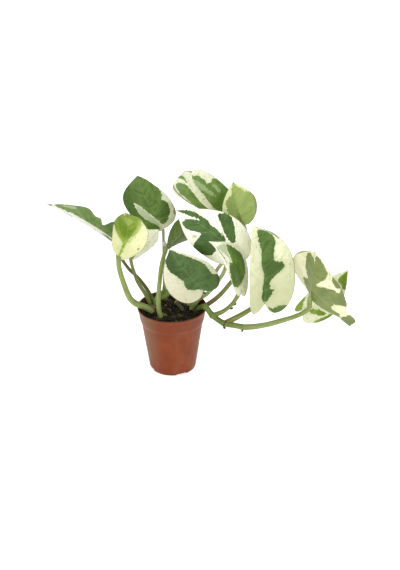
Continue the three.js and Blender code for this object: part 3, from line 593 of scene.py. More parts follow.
def on_blade(leaf, x, y):
    """Places flat points in space. x is out to the right of the midrib and y along it. The midrib
    bows as the parabola 4q(1 - q) of the share q of its length, and a half leaves it at a slope that
    changes evenly towards the margin, both turned by a twist that grows along the blade."""
    junction, along, up, right, length = blade_frame(leaf)
    share = y / length
    bow = np.where(share < 0, 4 * share, 4 * share * (1 - share))[..., None]
    turn = (math.radians(leaf["twist"]) * (share - 0.5))[..., None]
    out = right * np.cos(turn) + up * np.sin(turn)
    rise = up * np.cos(turn) - right * np.sin(turn)
    widths, lifts, curls = (np.where(x >= 0, leaf["right"][k], leaf["left"][k]) for k in (0, 2, 3))
    reach = np.abs(x)
    slope = np.radians(lifts + curls * reach / widths / 2)
    place = junction + along * y[..., None] + up * bow * leaf["arch"] + right * bow * leaf["sway"]
    return place + out * (x * np.cos(slope))[..., None] + rise * (reach * np.sin(slope))[..., None]


def blade_normal(leaf, x, y, step=0.5):
    """The way the upper face looks: the slope to the right crossed with the slope along."""
    across = on_blade(leaf, x + step, y) - on_blade(leaf, x - step, y)
    along = on_blade(leaf, x, y + step) - on_blade(leaf, x, y - step)
    return unit(np.cross(across, along))


def blade_marks(leaf, flat, phase, s, along, under):
    """What the points of a blade carry for its material: the flat place; how far inside the green,
    pale, shaded and dark markings they are; whether they are underneath; and the veins' count, the
    share out to the margin and the share along the midrib."""
    places = flat[..., :2].reshape(-1, 2)
    nowhere = np.full(len(places), FAR_OUTSIDE)
    green, pale, shade, dark = (
        np.max([nowhere] + [inside_distance(places, rounded(o)) for o in leaf.get(kind, [])], axis=0)
        for kind in ("green", "pale", "shade", "dark"))
    return {
        "flat": flat,
        "marking": np.stack([green, pale, under.ravel()], -1),
        "tone": np.stack([shade, dark, 0 * dark], -1),
        "vein": np.stack([phase, s, along], -1),
    }


def blade_mesh(name, leaf, seed):
    """A blade. Its rows run like its side veins, from the midrib at L((t - 0.16)/0.84)^1.6 straight
    out to the margin at t. Each row goes round both faces, which meet at the margin, where the
    thickness falls as the root of 1 - s^10. The faces are quilted between the veins, waved towards
    the margin and grooved along the midrib, which stands out as a rib underneath."""
    length = blade_frame(leaf)[-1]
    t = np.linspace(0, 1, BLADE_ROWS + 1)
    share = 1 - (1 - np.linspace(0, 1, BLADE_COLUMNS + 1)) ** 1.25
    across = np.concatenate([-share[:0:-1], share, share[-2::-1], -share[1:-1]])
    upper = (np.arange(len(across)) <= 2 * BLADE_COLUMNS)[None]
    root = (length * np.maximum(0, (t - NOTCH_FAN) / (1 - NOTCH_FAN)) ** FAN_POWER)[:, None]
    right = flat_margin(leaf, "right", length, t)
    left = flat_margin(leaf, "left", length, t)
    s = np.abs(across)[None]
    side = np.where(across >= 0, 1.0, -1.0)[None]
    margin_x = np.where(side > 0, right[:, :1], left[:, :1])
    margin_y = np.where(side > 0, right[:, 1:], left[:, 1:])
    x = side * margin_x * s
    y = root + (margin_y - root) * s
    t = t[:, None] + 0 * s
    s = s + 0 * t

    phase = VEINS_A_SIDE * t - VEIN_SWEEP * s ** 2
    quilt = QUILT_HEIGHT * np.sin(math.pi * s) * np.cos(2 * math.pi * phase) * ease(0.05, 0.2, t)
    wave = EDGE_WAVE * s ** 2 * np.sin(9 * t + 2 * side) * np.sin(math.pi * t)
    flat = np.stack([x, y, 0 * x + seed], -1)
    ripple = EDGE_RIPPLE * s ** 3 * rough(flat, 9, seed, 2)
    groove = -GROOVE_DEPTH * bump(x, 0, 0.9) * (1 - 0.7 * t)
    rib_height = RIB_HEIGHT * np.clip(1 - y / length, 0.08, 1)
    rib = rib_height * bump(x, 0, 0.45 + 0.6 * rib_height) * ease(-2, 1, y)
    thickness = BLADE_THICKNESS * np.sqrt(np.clip(1 - s ** 10, 0, 1)) * (0.75 + 0.25 * (1 - t))
    lift = quilt + wave + ripple + groove + np.where(upper, thickness / 2, -thickness / 2 - rib)
    points = on_blade(leaf, x, y) + blade_normal(leaf, x, y) * lift[..., None]
    marks = blade_marks(leaf, flat, phase, s, y / length, np.where(upper, 0, 1) + 0 * s)
    return make_mesh(name, points, grid_faces(*x.shape), marks)


# Stalks and stems

def stem_mesh(name, line, stations, radius, section=None, up=(0, 0, 1)):
    """A stem: rings of points round a smooth line. The stem bends mostly in one plane, so that
    plane's normal, made square to the line, is each ring's side, and the ring's top is square to
    both. radius(u) is by share of the length, and section(u, angle) scales each ring by angle from
    the top. The last ring at each end is drawn in to a point. For the material its points carry how
    far their outward direction points up, their share of the length, and the place on a straight
    round bar, so that the material follows the bends."""
    middle, reach = smooth_line(line, stations)
    ahead = unit(np.gradient(middle, axis=0))
    normal = np.linalg.svd(middle - middle.mean(0))[2][-1]
    side = unit(normal - (ahead @ normal)[:, None] * ahead)
    top = np.cross(side, ahead)
    if top[-stations // 4:].mean(0) @ np.asarray(up, float) < 0:
        side, top = -side, -top
    u = (reach / reach[-1])[:, None]
    angle = np.linspace(0, 2 * math.pi, STALK_SIDES, endpoint=False)[None]
    size = radius(u) * (1 + (section(u, angle) if section else 0 * u * angle))
    size[0] = 0
    size[-1] = 0
    outward = top[:, None] * np.cos(angle)[..., None] + side[:, None] * np.sin(angle)[..., None]
    points = middle[:, None] + outward * size[..., None]
    share = u + 0 * angle
    marks = {
        "stalk": np.stack([outward[..., 2], share, 0 * share], -1),
        "round": round_axis(BAR_RADIUS, angle, reach[:, None]),
    }
    return make_mesh(name, points, grid_faces(stations, STALK_SIDES)[:, ::-1], marks)


def under_midrib(leaf, y, depth):
    """A point under the midrib, by a depth, square to its slope there."""
    _, along, up, _, length = blade_frame(leaf)
    slope = math.atan(4 * leaf["arch"] * (1 - 2 * y / length) / length)
    place = on_blade(leaf, np.array([0.0]), np.array([float(y)]))[0]
    return place - up * depth * math.cos(slope) + along * depth * math.sin(slope)


def rooted(line):
    """The line, started deeper in the soil, straight under its first point."""
    return [(line[0][0], line[0][1], SOIL_TOP - ROOT_DEPTH)] + list(line)


def stalk_mesh(name, leaf):
    """A petiole: it rises out of the soil or the vine, and ends under the midrib, where it thins
    into the rib. It is thickest in its sheath at the foot and has a short swollen joint below the
    blade. A shallow channel runs along its top between the two low wings of the sheath."""
    r = leaf["radius"]
    route = leaf["route"]
    in_soil = route[0][2] == SOIL_TOP
    start = np.array(route[0], float)
    in_vine = start - unit(np.array(route[1]) - start) * JOINED_DEPTH
    line = rooted(route) if in_soil else [tuple(in_vine)] + route
    line = line + [under_midrib(leaf, y, depth * r) for y, depth in STALK_END]
    length = smooth_line(line, 2)[1][-1]
    blade_start = 1 - STALK_END[-1][0] / length
    foot = ROOT_DEPTH / length if in_soil else 0

    def radius(u):
        taper = 1.06 - 0.14 * ease(foot, blade_start, u)
        sheath = 0.1 * bump(u, foot, 0.07) + 0.06 * bump(u, foot + 0.12, 0.12)
        joint = 0.12 * bump(u, blade_start - 4 / length, 4 / length)
        thin = 1 - 0.8 * ease(blade_start, 1, u)
        return r * (taper + sheath + joint) * thin

    def section(u, angle):
        from_top = np.abs((angle + math.pi) % (2 * math.pi) - math.pi)
        winged = 1 - ease(foot + 0.35, foot + 0.6, u)
        channel = -0.16 * bump(from_top, 0, 0.38) * (1 - ease(blade_start - 0.1, blade_start, u))
        wings = 0.13 * bump(from_top, 0.72, 0.2) * winged
        ribs = 0.012 * np.cos(9 * angle)
        return channel + wings + ribs

    return stem_mesh(name, line, STALK_STATIONS, radius, section, up=blade_frame(leaf)[2])


# Materials

def colour_of(colour):
    """A colour given as it looks, 0 to 255 a channel, made linear as the shader takes it."""
    c = np.array(colour, float) / 255
    linear = np.where(c < 0.04045, c / 12.92, ((c + 0.055) / 1.055) ** 2.4)
    return (*linear, 1.0)


def shaded(colour, *shares):
    """The colour with each channel multiplied by its share."""
    return tuple(share * c for share, c in zip(shares, colour))


class Paint:
    """A material with one Principled shader. Its methods add nodes and give back what comes out of
    them, and take plain values or what came out of other nodes."""

    def __init__(self, name, colour, roughness, specular):
        self.material = bpy.data.materials.new(name)
        self.material.use_nodes = True
        self.tree = self.material.node_tree
        self.shader = self.tree.nodes["Principled BSDF"].inputs
        self.shader["Base Color"].default_value = colour_of(colour)
        self.shader["Roughness"].default_value = roughness
        self.shader["Specular IOR Level"].default_value = specular

    def put(self, value, socket):
        """Joins what comes out of a node to the socket, or sets the socket to a plain value."""
        if isinstance(value, bpy.types.NodeSocket):
            self.tree.links.new(value, socket)
        else:
            socket.default_value = value

    def node(self, kind, inputs, **settings):
        """Adds a node with its settings and inputs, and gives back its outputs."""
        node = self.tree.nodes.new("ShaderNode" + kind)
        for key, value in settings.items():
            setattr(node, key, value)
        for key, value in inputs.items():
            self.put(value, node.inputs[key])
        return node.outputs

    def mark(self, name):
        """A vector that the points of the mesh carry."""
        return self.node("Attribute", {}, attribute_name=name)["Vector"]

    def millimetres(self):
        """The place on the piece, in millimetres."""
        place = self.node("TexCoord", {})["Object"]
        return self.node("VectorMath", {0: place, 1: (1 / MM, 1 / MM, 1 / MM)}, operation="MULTIPLY")[0]

    def parts(self, vector):
        """The three parts of a vector."""
        return self.node("SeparateXYZ", {0: vector})

    def calc(self, operation, a, b=0.0, c=0.0):
        """A sum on up to three values. MULTIPLY_ADD is a times b, plus c."""
        return self.node("Math", {0: a, 1: b, 2: c}, operation=operation)[0]

    def times(self, a, b):
        return self.calc("MULTIPLY", a, b)

    def from_to(self, value, start, end):
        """A value of 0 to 1, spread from start to end."""
        return self.calc("MULTIPLY_ADD", value, end - start, start)

    def step(self, value, low, high):
        """0 below low and 1 above high, with a smooth change between them."""
        inputs = {0: value, 1: low, 2: high, 3: 0.0, 4: 1.0}
        return self.node("MapRange", inputs, interpolation_type="SMOOTHSTEP")[0]

    def grain(self, place, scale, detail=3.0, roughness=0.55, stretch=(1, 1, 1)):
        """Noise from 0 to 1 about 0.5, scaled per millimetre and, along each axis, by the stretch."""
        moved = self.node("VectorMath", {0: place, 1: stretch}, operation="MULTIPLY")[0]
        inputs = {"Vector": moved, "Scale": scale, "Detail": detail, "Roughness": roughness}
        return self.node("TexNoise", inputs)[0]

    def cells(self, place, scale, feature="F1"):
        """The distance to the nearest of scattered points, or to the edge between their cells."""
        return self.node("TexVoronoi", {"Vector": place, "Scale": scale}, feature=feature)[0]

    def mix(self, share, a, b):
        """Colour a where share is 0 and colour b where it is 1."""
        a, b = (c if isinstance(c, bpy.types.NodeSocket) else colour_of(c) for c in (a, b))
        return self.node("Mix", {0: share, 6: a, 7: b}, data_type="RGBA")[2]

    def over(self, colour, *layers):
        """The colour with layers over it: each is a shade, its share and that share's weight."""
        for shade, share, weight in layers:
            colour = self.mix(self.times(share, weight), colour, shade)
        return colour

    def finish(self, colour, roughness, height, strength, metres):
        """Gives the shader its colour, its roughness and a bump of the height, and hands it over."""
        self.put(colour, self.shader["Base Color"])
        self.put(roughness, self.shader["Roughness"])
        relief = self.node("Bump", {"Strength": strength, "Distance": metres, "Height": height})
        self.put(relief[0], self.shader["Normal"])
        return self.material


def green_parts(paint, flat, veined, speckle, deep_green_and_painted_shade, look):
    """Green of a leaf: clouds of two greens, light and deep streaks along the veins, painted shade and
    deeper green where the shade outlines say, and speckled."""
    green, light, _, _, deep, _ = look
    cloud = paint.step(paint.grain(flat, 0.13, 3), 0.35, 0.65)
    streak = paint.grain(veined, 1.0, 4, 0.6, (2.6, 0.9, 1.5))
    return paint.over(
        paint.mix(cloud, green, light),
        (light, paint.step(streak, 0.46, 0.64), 0.75),
        (deep, paint.step(streak, 0.46, 0.3), 0.65),
        # painted shade in folds and curls, with some deeper green, from the shade outlines
        (deep, deep_green_and_painted_shade, 0.7),
        (light, paint.step(speckle, 0.5, 0.66), 0.45),
        (deep, paint.step(speckle, 0.5, 0.36), 0.45))


def cream_parts(paint, flat, veined, speckle, into_green, midrib, look):
    """Cream of a leaf: beige patches, grey-green clouds that thicken near the green, a halo round it,
    beige speckles, brown specks, painted shade that dulls the end at the stalk, and a beige midrib."""
    _, _, cream, pale, _, dulled = look
    beige = shaded(cream, 0.91, 0.88, 0.83)
    clouds = paint.grain(veined, 1.0, 4, 0.7, (3.4, 4, 3))
    clouded = 0.1 + 0.3 * dulled
    near_green = paint.from_to(paint.step(into_green, -6.0, -0.5), clouded, clouded + 0.3)
    specked = paint.step(paint.grain(flat, 0.09, 1), 0.4, 0.5)
    specks = paint.times(paint.step(paint.cells(flat, 0.15), 0.15, 0.09), specked)
    along = paint.parts(veined)[2]
    return paint.over(
        cream,
        (beige, paint.step(paint.grain(flat, 0.12, 4, 0.65), 0.48, 0.7), 0.6),
        (pale, paint.step(clouds, 0.47, 0.64), near_green),
        (pale, paint.step(into_green, -3.5, 0.0), 0.5 * dulled),
        (beige, paint.step(speckle, 0.5, 0.68), 0.45),
        (SPECK, specks, 0.45 + 0.4 * dulled),
        # painted shade: the cream duller towards the stalk
        (shaded(cream, 0.8, 0.8, 0.72), paint.step(along, 0.6, 0.0), dulled),
        (beige, midrib, 0.25))


def leaf_material(name, look):
    """Living blade: green markings with ragged edges on mottled cream, grey-green where the marking
    lies under the skin, fine paler veins, browned edges darkened further by painted shade, painted
    shadow lines along some folds, a duller underside, and a skin netted by the smallest veins."""
    green, light, cream, pale, _, _ = look
    paint = Paint(name, green, 0.42, 0.2)
    flat = paint.mark("flat")
    veined = paint.mark("vein")
    phase, out, _ = paint.parts(veined)
    into_green, into_pale, underside = paint.parts(paint.mark("marking"))
    into_shade, into_dark, _ = paint.parts(paint.mark("tone"))

    lobes = paint.from_to(paint.grain(flat, 0.4, 3, 0.6), -1.3, 1.3)
    fingers = paint.from_to(paint.grain(veined, 1.0, 2, 0.5, (6, 1.3, 1)), -1.6, 1.6)
    teeth = paint.from_to(paint.grain(flat, 2.2, 2), -0.5, 0.5)
    ragged = paint.calc("ADD", paint.calc("ADD", lobes, fingers), teeth)

    def marked(inside, softness):
        return paint.step(paint.calc("ADD", inside, ragged), -softness, softness)

    from_vein = paint.calc("ABSOLUTE", paint.calc("SUBTRACT", paint.calc("FRACT", phase), 0.5))
    vein = paint.times(paint.step(from_vein, 0.05, 0.0), paint.calc("SUBTRACT", 1.0, out))
    midrib = paint.step(paint.calc("ABSOLUTE", paint.parts(flat)[0]), 1.0, 0.1)
    line = paint.calc("MAXIMUM", paint.times(vein, 0.28), paint.times(midrib, 0.13))
    line_colour = tuple(0.6 * a + 0.4 * b for a, b in zip(light, cream))
    speckle = paint.grain(flat, 0.9, 4, 0.7)

    leafy = green_parts(paint, flat, veined, speckle, marked(into_shade, 2.5), look)
    milky = cream_parts(paint, flat, veined, speckle, into_green, midrib, look)
    colour = paint.mix(marked(into_green, 0.15), milky, paint.mix(line, leafy, line_colour))
    # The margin is browned in patches, which also paints the shade on curled and thinning edges.
    rim_patchiness = paint.from_to(paint.step(paint.grain(flat, 0.35, 2), 0.42, 0.6), 0.3, 0.65)
    rim = paint.times(paint.step(out, 0.965, 0.995), rim_patchiness)
    # The dark outlines: browned marks, and painted shadow lines along folds and curled edges.
    brown_and_shadow_marks = paint.step(paint.calc("MULTIPLY_ADD", teeth, 0.5, into_dark), -0.25, 0.15)
    browned = paint.calc("MAXIMUM", rim, paint.times(brown_and_shadow_marks, 0.75))
    colour = paint.over(colour, (pale, marked(into_pale, 0.5), 0.85), (BROWN_AND_EDGE_SHADE, browned, 1.0),
                        (UNDERSIDE, underside, 0.2))

    roughness = paint.from_to(paint.grain(flat, 0.6, 3), 0.38, 0.54)
    net = paint.times(paint.step(paint.cells(flat, 0.75, "DISTANCE_TO_EDGE"), 0.0, 0.16), 0.35)
    height = paint.calc("ADD", paint.calc("ADD", net, paint.grain(flat, 1.6, 3)), paint.times(line, -0.8))
    return paint.finish(colour, roughness, height, 0.35, 0.0002)


def stalk_material(name, look):
    """Living stalk: lengthwise streaks, brown blotches, a browner foot, painted shade that browns the
    underside, a lighter end below the blade, and a few dark dots."""
    light, dark, brown, browned = look
    paint = Paint(name, light, 0.42, 0.2)
    place = paint.mark("round")
    upward, share, _ = paint.parts(paint.mark("stalk"))
    streaks = paint.step(paint.grain(place, 1.0, 4, 0.6, (1, 1, 0.08)), 0.38, 0.66)
    colour = paint.over(
        paint.mix(streaks, light, dark),
        (brown, paint.step(paint.grain(place, 0.12, 3, 0.6, (1, 1, 0.6)), 0.45, 0.7), browned),
        (brown, paint.step(share, 0.22, 0.05), 1.2 * browned),
        # painted shade: browner on the underside
        (brown, paint.step(upward, -0.05, -0.75), browned),
        (light, paint.step(share, 0.8, 0.94), 0.8),
        (STALK_DOT, paint.step(paint.cells(place, 0.5), 0.12, 0.05), 0.6))
    return paint.finish(colour, 0.42, paint.grain(place, 1.2, 4, 0.6, (1, 1, 0.1)), 0.3, 0.0002)


def plastic_material():
    """Thin moulded plastic: terracotta colour with faint clouding and dust, painted shade on the inner
    face and a painted shadow at the foot's edge, browner on the band, greyer on the left where grey
    mottles paint the sheen of the lamp on that side over a little dust, soiled at the rim, with fine
    scratches and a satin gloss that varies."""
    paint = Paint("terracotta_plastic", (118, 55, 27), 0.46, 0.12)
    place = paint.millimetres()
    across, _, height = paint.parts(place)
    # The wall leans out by a fifth of its height, so what is nearer to the axis is its inner face.
    level = paint.node("VectorMath", {0: place, 1: (1, 1, 0)}, operation="MULTIPLY")[0]
    radius = paint.node("VectorMath", {0: level}, operation="LENGTH")[1]
    from_wall = paint.calc("MULTIPLY_ADD", height, -0.2, radius)
    # The inner face above the soil, which gets painted shade.
    inside = paint.times(paint.step(from_wall, 17.8, 17.4), paint.step(height, 50.5, 52.5))
    left_sheen_and_dust = paint.step(paint.grain(place, 0.08, 5, 0.65, (1, 1, 0.5)), 0.35, 0.6)
    soiled = paint.step(paint.grain(place, 0.16, 4), 0.5, 0.62)
    cloud = paint.step(paint.grain(place, 0.06, 4, 0.6), 0.35, 0.7)
    colour = paint.over(
        paint.mix(cloud, (114, 52, 25), (125, 60, 31)),
        ((148, 118, 94), paint.step(paint.grain(place, 0.045, 5, 0.65, (1, 1, 0.45)), 0.48, 0.72), 0.12),
        # painted shade on the inner face
        ((70, 32, 24), inside, 0.85),
        ((110, 52, 32), paint.step(height, BAND_START - 3, BAND_START + 1), 0.35),
        # a painted shadow along the foot's lower edge
        ((62, 32, 18), paint.step(height, 1.6, 0.4), 0.6),
        # greyer on the left: the painted sheen of the lamp on that side, mottled like a little dust
        ((112, 96, 66), paint.times(paint.step(across, -6, -26), left_sheen_and_dust), 0.6),
        ((86, 52, 38), paint.times(paint.step(height, 52, 58), soiled), 0.3))
    gloss = paint.from_to(paint.grain(place, 0.09, 5, 0.65), 0.27, 0.57)
    return paint.finish(colour, gloss, paint.grain(place, 0.4, 3, 0.5, (1, 1, 0.15)), 0.12, 0.0003)


def peat_material(name, look):
    """Moist peat: near black, with brown and a few tan grains, rough but glinting where wet."""
    dark, brown, tan = look
    paint = Paint(name, dark, 0.8, 0.2)
    place = paint.millimetres()
    colour = paint.over(
        paint.mix(paint.step(paint.grain(place, 0.7, 4, 0.65), 0.42, 0.68), dark, brown),
        (tan, paint.step(paint.grain(place, 0.13, 3), 0.5, 0.66), 0.55),
        (tan, paint.step(paint.grain(place, 1.5, 2), 0.68, 0.74), 1.0))
    wetness = paint.step(paint.grain(place, 0.9, 3), 0.24, 0.5)
    return paint.finish(colour, wetness, paint.grain(place, 1.3, 4, 0.6), 0.8, 0.0006)


# The pot and what is in it

def pot_outline():
    """The pot's section from the middle of its underside, up the outside, over the rolled lip and
    down the inside to the middle of its floor. The ledge under the band widens by its draft evenly
    and by the rest as 3q^2 - 2q^3 of its height. The lip is a small half round."""
    foot, rim = POT_FOOT_RADIUS, POT_RIM_RADIUS
    foot_ring = [(0, 0.5), (foot - 4, 0.5), (foot - 3.4, 0), (foot - 1.2, 0)]
    corner = [(foot - 0.4, 0.35), (foot, 1.4), (foot + 0.1, 2.2)]
    body_top = [(BODY_TOP_RADIUS - 0.13, BAND_START - LEDGE_HEIGHT - 1)]
    q = np.linspace(0, 1, CURVE_POINTS)
    widened = LEDGE_DRAFT * q + (POT_LEDGE - LEDGE_DRAFT) * ease(0, 1, q)
    ledge = np.stack([BODY_TOP_RADIUS + widened, BAND_START + LEDGE_HEIGHT * (q - 1)], -1)
    band = [(BAND_FOOT_RADIUS + 0.25, BAND_START + 1.2), (rim - 0.6, POT_HEIGHT - 2.2),
            (rim - 0.35, POT_HEIGHT - 1.8), (rim - 0.05, POT_HEIGHT - 1.3)]
    turn = np.linspace(0, math.pi, CURVE_POINTS)
    lip_radius = POT_WALL / 2
    lip = (rim, POT_HEIGHT) + lip_radius * (np.stack([np.cos(turn), np.sin(turn)], -1) - 1)
    inside = [(rim - 0.35, POT_HEIGHT - 2), (BAND_FOOT_RADIUS, BAND_START + 0.6),
              (BODY_TOP_RADIUS, BAND_START - 1.4), (foot, 2.4), (foot - 1.2, POT_WALL)]
    inside = [(radius - POT_WALL, height) for radius, height in inside]
    return np.concatenate([foot_ring, corner, body_top, ledge, band, lip, inside, [(0, POT_WALL)]])


def finer(outline, spacing):
    """The outline with points added so that none is further than the spacing from the next."""
    steps = np.maximum(1, np.ceil(np.linalg.norm(np.diff(outline, axis=0), axis=1) / spacing).astype(int))
    parts = [a + (b - a) * np.linspace(0, 1, n, endpoint=False)[:, None]
             for a, b, n in zip(outline[:-1], outline[1:], steps)]
    return np.concatenate(parts + [outline[-1:]])


def turned(outline, columns):
    """A section turned round +Z, as a ring of points for each point of the outline."""
    angle = np.linspace(0, 2 * math.pi, columns, endpoint=False)
    return round_axis(outline[:, :1], angle, outline[:, 1:])


def boxes_mesh(name, places, half_sizes, angles):
    """Boxes turned about +Z: the eight corners of a cube, scaled, turned and moved."""
    corners = np.array([(x, y, z) for x in (-1, 1) for y in (-1, 1) for z in (-1, 1)], float)
    around = np.array([(0, 1, 3, 2), (4, 6, 7, 5), (0, 4, 5, 1), (2, 3, 7, 6), (0, 2, 6, 4), (1, 5, 7, 3)])
    x, y, z = np.moveaxis(np.tile(corners * half_sizes, (len(places), 1, 1)), -1, 0)
    cos, sin = np.cos(angles)[:, None], np.sin(angles)[:, None]
    points = np.stack([x * cos - y * sin, x * sin + y * cos, z], -1) + places[:, None]
    faces = (around + 8 * np.arange(len(places))[:, None, None]).reshape(-1, 4)
    return make_mesh(name, points, faces, merge=0)


def cut_out(piece, mesh):
    """Takes the mesh out of the piece, and keeps the result as the piece's own mesh."""
    cutter = add_object(mesh.name, mesh)
    cut = piece.modifiers.new(mesh.name, "BOOLEAN")
    cut.object = cutter
    cut.operation = "DIFFERENCE"
    cut.solver = "EXACT"
    name = piece.data.name
    whole = bpy.data.meshes.new_from_object(piece.evaluated_get(bpy.context.evaluated_depsgraph_get()))
    piece.modifiers.clear()
    piece.data = whole
    whole.name = name
    bpy.data.objects.remove(cutter)


def build_pot():
    """The pot, turned, with its drain slots cut out of the foot."""
    outline = finer(pot_outline(), OUTLINE_SPACING)
    mesh = make_mesh("pot_shell", turned(outline, POT_COLUMNS), grid_faces(len(outline), POT_COLUMNS))
    pot = add_piece(mesh, plastic_material(), "pot_plastic", "pot")
    angles = np.radians(DRAIN_FIRST_ANGLE + np.arange(DRAIN_COUNT) * 360 / DRAIN_COUNT)
    places = np.stack([POT_FOOT_RADIUS * np.sin(angles), -POT_FOOT_RADIUS * np.cos(angles), 0 * angles], -1)
    half_sizes = (DRAIN_WIDTH / 2, DRAIN_DEPTH / 2, DRAIN_HEIGHT)
    cut_out(pot, boxes_mesh("drain_slots", places, half_sizes, angles))
    pot.data.set_sharp_from_angle(angle=math.radians(SHARP_ANGLE))


def build_soil():
    """The soil: the inside of the pot less a small gap, with its top as a rough field of lumps,
    deeper at the wall."""
    gap = POT_WALL + SOIL_GAP
    taper = (POT_RIM_RADIUS - 0.5 - BAND_FOOT_RADIUS) / (POT_BAND_HEIGHT - 1.6)
    top_radius = BAND_FOOT_RADIUS - gap + taper * (SOIL_TOP - BAND_START - 2.1)
    wall = [(0, gap), (POT_FOOT_RADIUS - 1.4 - gap, gap), (POT_FOOT_RADIUS - gap, 3),
            (BODY_TOP_RADIUS - gap, BAND_START - 1.2), (BAND_FOOT_RADIUS - gap, BAND_START + 1.2),
            (top_radius, SOIL_TOP - 1.5)]
    across = np.linspace(1, 0, SOIL_RINGS + 1)[1:]
    top = np.stack([top_radius * across, SOIL_TOP - SOIL_SINK - SOIL_FALL * across ** 6], -1)
    outline = np.concatenate([finer(np.array(wall, float), 4), top])
    points = turned(outline, SOIL_COLUMNS)

    def lumps(seed, height, size, octaves):
        return height * rough(points, size, seed, octaves)

    lift = lumps(PEAT_SEED, *COARSE_LUMPS) + np.abs(lumps(PEAT_SEED + 1, *FINE_LUMPS))
    points[..., 2] += lift * ease(SOIL_TOP - 3, SOIL_TOP - 1.4, outline[:, 1])[:, None]
    points[-1] = points[-1].mean(0)
    mesh = make_mesh("peat", points, grid_faces(len(outline), SOIL_COLUMNS))
    add_piece(mesh, peat_material("moist_peat", MOIST_PEAT), "soil", "soil")


def crumbs_mesh(name, count, half_sizes, stretch, seed, height):
    """Crumbs strewn on the soil: a small ball of points for each, made uneven by seeded noise,
    scaled, turned to three seeded directions that are square to each other, and half sunk."""
    random = np.random.default_rng(seed)
    v = np.linspace(0, math.pi, CRUMB_ROWS)[:, None]
    h = np.linspace(0, 2 * math.pi, CRUMB_COLUMNS, endpoint=False)[None]
    ball = round_axis(np.sin(v), h, -np.cos(v))
    size = random.uniform(*half_sizes, count)[:, None, None, None]
    shape = random.uniform(*CRUMB_SHARES, (count, 1, 1, 3)) * np.array(stretch)
    places = ball[None] + random.uniform(0, 90, (count, 1, 1, 3))
    uneven = 1 + CRUMB_ROUGHNESS * rough(places, 2.2, seed, 2)[..., None]
    turns = unit(random.normal(size=(count, 3)))
    turns[:, 2] *= 0.3
    first = unit(turns)
    second = unit(np.cross(first, unit(random.normal(size=(count, 3)))))
    axes = np.stack([first, second, np.cross(first, second)], 1)
    points = np.einsum("nrck,nkd->nrcd", ball[None] * size * shape * uneven, axes)
    radius = STREWN_REACH * np.sqrt(random.uniform(0, 1, count))
    angle = random.uniform(0, 2 * math.pi, count)
    lie = SOIL_TOP + height - SOIL_FALL * (radius / STREWN_REACH) ** 6
    lie = lie + random.uniform(*CRUMB_LIES, count)
    points = points + round_axis(radius, angle, lie)[:, None, None]
    firsts = CRUMB_ROWS * CRUMB_COLUMNS * np.arange(count)[:, None, None]
    faces = (grid_faces(CRUMB_ROWS, CRUMB_COLUMNS) + firsts).reshape(-1, 4)
    return make_mesh(name, points, faces, merge=1e-4)


def build_strewn():
    """Crumbs, clods, fibres and a few grains of bark, lying on the soil."""
    for name, (*crumbs, look) in STREWN.items():
        add_piece(crumbs_mesh(name + "s", *crumbs), peat_material(name, look), "soil")


# Stems

def build_vine():
    """The trailing stem, swollen at its joints, with a narrow sunk ring past each."""
    line = rooted(VINE_ROUTE)
    middle, reach = smooth_line(line, VINE_MEASURES)
    nodes = [reach[np.linalg.norm(middle - np.array(VINE_ROUTE[k]), axis=1).argmin()] / reach[-1]
             for k in VINE_NODES]
    depth, past, spread = VINE_RING

    def radius(u):
        swollen = sum((VINE_NODE_RADIUS / VINE_RADIUS - 1) * bump(u, k, VINE_NODE_SPREAD) for k in nodes)
        ring = sum(-depth * bump(u, k + past, spread) for k in nodes)
        ends = np.sqrt(np.clip(1 - ((u - 0.5) / 0.502) ** 60, 0, 1))
        return VINE_RADIUS * (1 + swollen + ring) * ends

    vine = stem_mesh("trailing_vine", line, VINE_STATIONS, radius,
                     lambda u, angle: 0.03 * np.cos(5 * angle + 3 * u))
    add_piece(vine, STALKS["vine"], "stem", "vine_stem")


def build_stub():
    """The stub of the old cutting, and its rounded cut end."""
    stub = stem_mesh("stub_of_cutting", rooted(STUB_ROUTE), STUB_STATIONS,
                     lambda u: STUB_RADIUS * (1 - 0.1 * u),
                     lambda u, angle: 0.06 * np.cos(4 * angle) + 0 * u)
    add_piece(stub, STALKS["stub"], "dry_stem", "cut_stub")
    tip = np.array(STUB_ROUTE[-1], float)
    slope = unit(tip - np.array(STUB_ROUTE[-2]))
    end_line = [tip - slope * 1.2, tip - slope * 0.2, tip + slope * 0.5]
    end = stem_mesh("stub_end", end_line, CUT_END_STATIONS,
                    lambda u: 1.06 * STUB_RADIUS * np.sqrt(1 - u ** 6))
    add_piece(end, STALKS["cut"], "dry_stem", "cut_stub")


def pod_mesh(name, line, half_width, thinness):
    """A pod: its half width is sin(pi u) to the power 0.6, and its section is an uneven ellipse."""
    def radius(u):
        return half_width * np.sin(math.pi * np.clip(u, 0, 1)) ** 0.6

    def section(u, angle):
        uneven = 0.08 * np.sin(3 * angle + 9 * u)
        return 1 / np.sqrt((np.cos(angle) / thinness) ** 2 + np.sin(angle) ** 2) - 1 + uneven

    return stem_mesh(name, line, POD_STATIONS, radius, section)


def build_small_parts():
    """Sheaths, scales, a scar and the nubs of air roots, each a pod."""
    for name, (line, half_width, thinness, look) in SMALL_PARTS.items():
        slot = "stem" if look == "sheath" else "dry_stem"
        add_piece(pod_mesh(name, line, half_width, thinness), STALKS[look], slot)


def build_leaves():
    """The thirteen leaves, each as a blade and a stalk."""
    for number, (node, leaf) in enumerate(LEAVES.items()):
        add_piece(blade_mesh(f"{node}_blade", leaf, number + 1), BLADES[leaf["blade"]], "leaf", node)
        add_piece(stalk_mesh(f"{node}_stalk", leaf), STALKS[leaf["stalk"]], "stem", node)


# The room

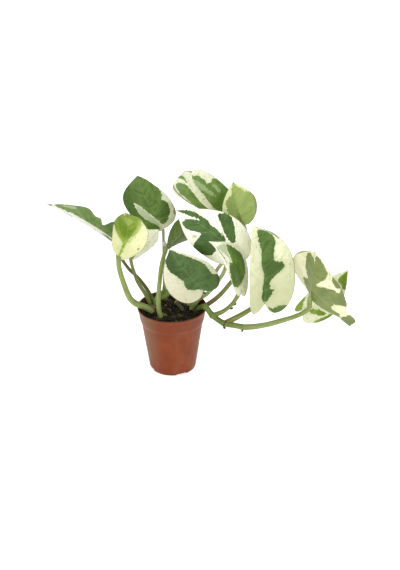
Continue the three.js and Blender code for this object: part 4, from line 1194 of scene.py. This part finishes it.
def build_floor():
    """A wide pale floor, just under the pot, that glows a little."""
    corners = np.array([(-1, -1, 0), (1, -1, 0), (1, 1, 0), (-1, 1, 0)]) * FLOOR_REACH
    mesh = make_mesh("floor", corners - (0, 0, FLOOR_DEPTH), np.array([(0, 1, 2, 3)]), merge=0)
    floor = add_object("floor", mesh)
    paint = Paint("pale_floor", (248, 248, 248), 0.8, 0.1)
    paint.put(WHITE, paint.shader["Emission Color"])
    paint.put(FLOOR_GLOW, paint.shader["Emission Strength"])
    floor.data.materials.append(paint.material)


def light_room():
    """Soft white light from all round, and four soft lamps that look at the plant."""
    world = bpy.data.worlds.new("studio")
    world.use_nodes = True
    sky = world.node_tree.nodes["Background"].inputs
    sky["Color"].default_value = WHITE
    sky["Strength"].default_value = SKY_STRENGTH
    bpy.context.scene.world = world
    for name, (place, size, power) in LIGHTS.items():
        light = bpy.data.lights.new(name, "AREA")
        light.size = size
        light.energy = power
        lamp = add_object(name, light)
        lamp.location = place
        lamp.rotation_euler = (Vector(VIEW_TARGET) * MM - Vector(place)).to_track_quat("-Z", "Y").to_euler()


def place_camera():
    """The photograph's camera, which looks down on the plant from the front."""
    elevation = math.radians(VIEW_ELEVATION)
    camera = bpy.data.cameras.new("photo_camera")
    camera.sensor_fit = "HORIZONTAL"
    camera.sensor_width = SENSOR_WIDTH
    camera.lens = FOCAL_PIXELS / IMAGE_WIDTH * SENSOR_WIDTH
    camera.clip_end = CLIP_METRES
    eye = add_object("photo_camera", camera)
    away = Vector((0, -math.cos(elevation), math.sin(elevation))) * VIEW_DISTANCE
    eye.location = (Vector(VIEW_TARGET) + away) * MM
    eye.rotation_euler = (math.pi / 2 - elevation, 0, 0)
    bpy.context.scene.camera = eye
    bpy.context.scene.view_settings.view_transform = "Standard"


BLADES = {key: leaf_material(f"blade_{key}", look) for key, look in LEAF_LOOKS.items()}
STALKS = {key: stalk_material(f"stalk_{key}", look) for key, look in STALK_LOOKS.items()}

build_floor()
light_room()
place_camera()
build_pot()
build_soil()
build_strewn()
build_vine()
build_stub()
build_small_parts()
build_leaves()
